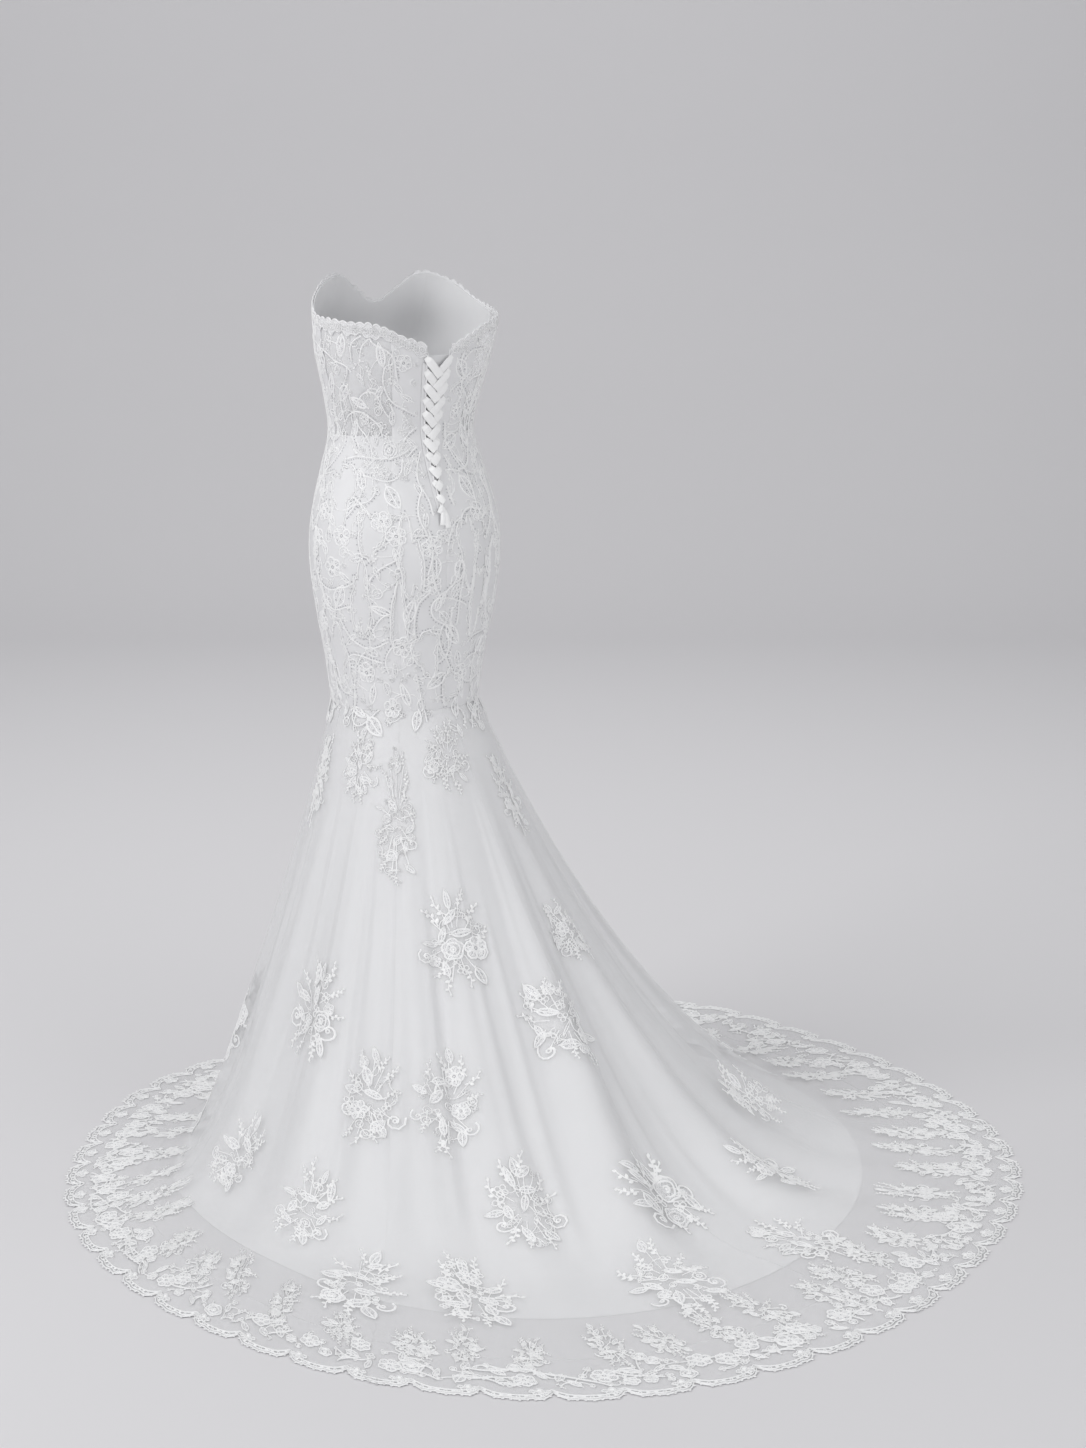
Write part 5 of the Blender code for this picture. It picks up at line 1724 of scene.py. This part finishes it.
@dataclass
class Lacing:
    """Modesty panel, corded edges with loops, and the crossed ribbon with its knot and short ends."""

    finishes: Finishes
    crossings: int = 11
    ribbon_width: float = 0.0120
    slope: float = 1.15
    head_room: float = 0.008
    modesty_half: float = 0.043

    def back(self, across: np.ndarray, height: np.ndarray, out: np.ndarray) -> np.ndarray:
        """Points on the back at distances to the left of its middle."""
        across, height, out = np.broadcast_arrays(across, height, out)
        return BODY.point(BODY.azimuth_off_back(across, height), height, out)

    def modesty(self) -> None:
        """Plain satin panel behind the lacing, with a stitched top hem."""
        height = np.linspace(1.000, 1.250, 41)[:, None]
        half = self.modesty_half * (0.6 + 0.4 * (height - 1.000) / 0.250)
        across = half * np.linspace(1, -1, 33)[None, :]
        wrinkle = 0.0009 * np.sin(across * 160 + height * 55) * smooth_step(0, 0.05, 1.245 - height)
        hem = 0.0009 * smooth_step(0, 0.0015, 1.2430 - height) * smooth_step(0, 0.010, height - 1.2330)
        outer = -0.0010 + wrinkle - hem
        outer = np.minimum(outer, -0.0004)
        inner = outer - SATIN_WALL
        grid_out = self.back(across, height, outer)
        piece = shell("modesty_cloth", self.back(across, height, inner), grid_out, cloth_uv(grid_out))
        dress(piece, self.finishes.satin, "satin", "modesty_panel")
        width, length, area = flat_size(grid_out)

    def tube(self, name: str, paths: Sequence[np.ndarray], radius: float, sides: int = 8) -> bpy.types.Object:
        """Round cords along some paths, in one piece.

        Args:
            name: The piece's name.
            paths: Middle lines, heights above the floor.
            radius: Radius of the cord.
            sides: Sides of its round.

        Returns:
            The object.
        """
        points, quads, uvs = [], [], []
        count = 0
        for path in paths:
            path = np.asarray(path, float)
            along = unit(np.gradient(path, axis=0))
            side = unit(np.cross(along, np.array([0.13, 0.96, 0.25])))
            third = np.cross(along, side)
            angle = np.arange(sides) * 2 * math.pi / sides
            size = np.full(len(path), radius)
            size[[0, -1]] *= 0.3
            ring = side[:, None] * np.cos(angle)[None, :, None] + third[:, None] * np.sin(angle)[None, :, None]
            points.append((path[:, None] + ring * size[:, None, None]).reshape(-1, 3))
            run = np.concatenate([[0.0], np.cumsum(np.linalg.norm(np.diff(path, axis=0), axis=-1))])
            uvs.append(np.stack([np.tile(angle * radius, len(path)), np.repeat(run, sides)], -1))
            first = np.arange(len(path) - 1)[:, None] * sides + np.arange(sides)[None, :] + count
            beside = np.arange(len(path) - 1)[:, None] * sides + (np.arange(sides)[None, :] + 1) % sides + count
            quads.append(np.stack([first, beside, beside + sides, first + sides], -1).reshape(-1, 4))
            count += len(path) * sides
        return make_piece(name, np.concatenate(points), np.concatenate(quads), np.zeros((0, 3)), np.concatenate(uvs))

    def edges(self) -> None:
        """Satin strip, piping and loops on each side of the V."""
        for label, side in (("left", 1.0), ("right", -1.0)):
            height = np.linspace(1.020, 1.239, 49)[:, None]
            edge = BODY.lacing_half(height) + 0.001
            across = side * (edge + 0.007 * np.linspace(0, 1, 6)[None, :])
            rise = PANEL_WALL + 0.0006 + 0.0006 * np.sin(math.pi * np.linspace(0, 1, 6))[None, :]
            outer = self.back(across, height, rise + 0.0008)
            inner = self.back(across, height, rise)
            strip = shell(f"placket_cloth_{label}", inner, outer, cloth_uv(outer))
            dress(strip, self.finishes.satin, "satin", f"loop_placket_{label}")
            width, length, area = flat_size(outer)
            line = np.linspace(1.014, 1.242, 60)
            pipe = self.back(side * (BODY.lacing_half(line) + 0.0008), line, PANEL_WALL + 0.0016)
            paths = [pipe]
            pitch = (BODY.lacing_head - self.head_room - BODY.lacing_foot) / self.crossings
            for crossing in range(1, self.crossings):
                level = BODY.lacing_foot + crossing * pitch - 0.004
                angle = np.linspace(-0.5 * math.pi, 0.5 * math.pi, 9)
                rows = level + 0.0042 * np.sin(angle)
                reach = min(0.0042, float(BODY.lacing_half(np.array(level))) * 0.8 + 0.0006)
                inside = side * (BODY.lacing_half(rows) + 0.0008 - reach * np.cos(angle))
                paths.append(self.back(inside, rows, PANEL_WALL + 0.0020 + 0.0008 * np.cos(angle)))
            loops = self.tube(f"loop_cords_{label}", paths, 0.0010, 6)
            dress(loops, self.finishes.ribbon, "satin")

    def band(self, middle: np.ndarray, half: np.ndarray, camber: float) -> tuple:
        """Inner and outer grids of a flat ribbon.

        Args:
            middle: Rows of across, height and out for its middle line.
            half: Half width along it, as across and height.
            camber: How far its middle stands over its edges.

        Returns:
            Inner and outer grids.
        """
        share = np.linspace(-1, 1, 5)[None, :]
        across = middle[:, 0][:, None] + half[:, 0][:, None] * share
        height = middle[:, 1][:, None] + half[:, 1][:, None] * share
        out = middle[:, 2][:, None] + camber * (1 - share**2)
        return self.back(across, height, out), self.back(across, height, out + 0.0006)

    def ribbon(self) -> None:
        """Crossed ribbon: two bands for each crossing, one over the other, and the knot at the foot."""
        pitch = (BODY.lacing_head - self.head_room - BODY.lacing_foot) / self.crossings
        grids = []
        for crossing in range(1, self.crossings + 1):
            level = BODY.lacing_foot + crossing * pitch - 0.004
            half_open = float(BODY.lacing_half(np.array(min(level, 1.255)))) + 0.0035
            drop = half_open * self.slope + 0.004
            for number, side in enumerate((1.0, -1.0)):
                over = 0.0016 if (crossing + number) % 2 else 0.0
                share = np.linspace(0, 1, 13)
                across = side * (half_open * (1 - share) - 0.0035 * share)
                height = level - drop * share + 0.0022
                out = PANEL_WALL + 0.0034 + over * np.sin(math.pi * np.minimum(share, 0.75) / 1.5)
                out = out - 0.0016 * (share < 0.09)
                along = unit(np.stack([np.gradient(across), np.gradient(height)], -1))
                width = 0.5 * self.ribbon_width * (0.62 + 0.38 * smooth_step(0, 0.25, share))
                width = width * min(1.0, 0.55 + half_open / 0.022)
                half = np.stack([-along[:, 1], along[:, 0]], -1) * width[:, None]
                grids.append(self.band(np.stack([across, height, out], -1), half, 0.0005))
        pieces = []
        for number, (inner, outer) in enumerate(grids):
            pieces.append(shell(f"ribbon_band_{number}", inner, outer, cloth_uv(outer)))
        knot = self.knot()
        join = [*pieces, *knot]
        bpy.ops.object.select_all(action="DESELECT")
        for piece in join:
            piece.select_set(True)
        bpy.context.view_layer.objects.active = join[0]
        bpy.ops.object.join()
        ribbon = bpy.context.object
        ribbon.name = "lacing_ribbon_satin"
        bpy.ops.object.select_all(action="DESELECT")
        dress(ribbon, self.finishes.ribbon, "ribbon", "lacing_ribbon")
        area = sum(flat_size(outer)[2] for inner, outer in grids) + 0.0013

    def knot(self) -> list:
        """Small folded knot at the foot of the V, with two short ends that lie down the back."""
        made = []
        for number, (lean, length, start) in enumerate(((-0.10, 0.030, 1.022), (0.14, 0.024, 1.020), (0.5, 0.012, 1.026))):
            share = np.linspace(0, 1, 12)
            across = lean * length * share + (0.0015 if number else -0.0015)
            height = start - length * share
            out = PANEL_WALL + 0.0024 + 0.0012 * number + 0.0030 * np.sin(math.pi * share) * (1 - 0.5 * share)
            along = unit(np.stack([np.gradient(across), np.gradient(height)], -1))
            width = 0.0042 * (0.5 + 0.5 * smooth_step(0, 0.5, share))
            half = np.stack([-along[:, 1], along[:, 0]], -1) * width[:, None]
            inner, outer = self.band(np.stack([across, height, out], -1), half, 0.0010)
            made.append(shell(f"knot_{number}", inner, outer, cloth_uv(outer)))
        return made

    def build(self) -> None:
        """Build the lacing."""
        self.modesty()
        self.edges()
        self.ribbon()


@dataclass
class Studio:
    """Pale seamless floor and backdrop, soft light and the camera."""

    finishes: Finishes
    camera_place: tuple = (2.262, 3.897, 1.600)
    heading: float = 147.0
    pitch: float = 11.75
    focal_length: float = 72.6
    sweep: float = 3.2
    wall_behind: float = 4.5

    def toward(self, right: float, near: float, height: float) -> Vector:
        """Place given as the camera sees it: to the right, nearer, and above the floor."""
        turn = math.radians(self.heading)
        rightward = Vector((math.cos(turn), math.sin(turn), 0))
        nearer = Vector((math.sin(turn), -math.cos(turn), 0))
        return rightward * right + nearer * near + Vector((0, 0, height - HOLD))

    def camera(self) -> None:
        """Add the camera at the photograph's place and angle."""
        place = Vector(self.camera_place) - Vector((0, 0, HOLD))
        turn = (math.radians(90 - self.pitch), 0, math.radians(self.heading))
        bpy.ops.object.camera_add(location=place, rotation=turn)
        camera = bpy.context.object
        camera.data.lens = self.focal_length
        camera.data.sensor_width = 36.0
        camera.data.clip_end = 60.0
        bpy.context.scene.camera = camera

    def backdrop(self) -> None:
        """Add the floor and, behind it, the sweep up to the backdrop."""
        bpy.ops.mesh.primitive_plane_add(size=1)
        paper = bpy.context.object
        paper.name = "paper_sweep"
        rings = []
        corner = 1.5
        for step in range(9):
            angle = math.radians(90 * step / 8)
            rings.append((-self.wall_behind - corner * math.sin(angle), corner * (1 - math.cos(angle))))
        profile = [(7.0, 0.0), (0.0, 0.0), *rings, (-self.wall_behind - corner, 9.0)]
        points = []
        for near, height in profile:
            for right in (-12.0, 12.0):
                points.append(self.toward(right, near, height - 0.0004))
        faces = [(2 * k, 2 * k + 1, 2 * k + 3, 2 * k + 2) for k in range(len(profile) - 1)]
        paper.data.clear_geometry()
        paper.data.from_pydata([tuple(point) for point in points], [], faces)
        paper.data.materials.append(self.finishes.paper)
        for face in paper.data.polygons:
            face.use_smooth = True

    def lights(self) -> None:
        """Add the soft key from the upper left, a fill from the right and an overhead."""
        jobs = (
            ("key_light", self.toward(-2.9, 2.2, 3.1), 2.6, 92.0, (0, 0, 0.7)),
            ("fill_light", self.toward(2.8, 3.4, 1.3), 2.6, 48.0, (0, 0, 0.6)),
            ("top_light", self.toward(0.6, 0.0, 4.4), 4.0, 38.0, (0, 0, 0.7)),
            ("back_light", self.toward(0.0, -3.6, 3.4), 3.0, 14.0, (0, 0, 0.7)),
            ("wall_light", self.toward(0.0, -1.5, 4.6), 5.0, 62.0, self.toward(0.0, -7.0, 2.4) + Vector((0, 0, HOLD))),
        )
        for name, place, size, power, target in jobs:
            bpy.ops.object.light_add(type="AREA", location=place)
            light = bpy.context.object
            light.name = name
            light.data.size = size
            light.data.energy = power
            aim = Vector(target) - Vector((0, 0, HOLD)) - place
            light.rotation_euler = aim.to_track_quat("-Z", "Y").to_euler()
        world = bpy.data.worlds.new("studio_air")
        world.use_nodes = True
        world.node_tree.nodes["Background"].inputs["Color"].default_value = (0.93, 0.94, 0.96, 1)
        world.node_tree.nodes["Background"].inputs["Strength"].default_value = 0.44
        bpy.context.scene.world = world

    def build(self) -> None:
        """Build the studio."""
        self.camera()
        self.backdrop()
        self.lights()
        view = bpy.context.scene.view_settings
        view.view_transform = "Standard"
        view.look = "None"
        view.exposure = 0.0


def main() -> None:
    """Build every piece of the gown and the studio."""
    logging.basicConfig(level=logging.INFO, format="%(message)s")
    finishes = Finishes()
    Studio(finishes).build()
    sheath = Sheath(finishes)
    skirt = Skirt(finishes)
    sheath.build()
    skirt.build()
    rng = np.random.default_rng(LACE_SEED)
    maker = LaceMaker(MotifBook(), rng)
    SheathLace(finishes, maker).build()
    Sprays(finishes, maker).build()
    HemBorder(finishes, maker).build()
    NeckEdging(finishes, maker).build()
    Lacing(finishes).build()


if __name__ == "__main__":
    main()
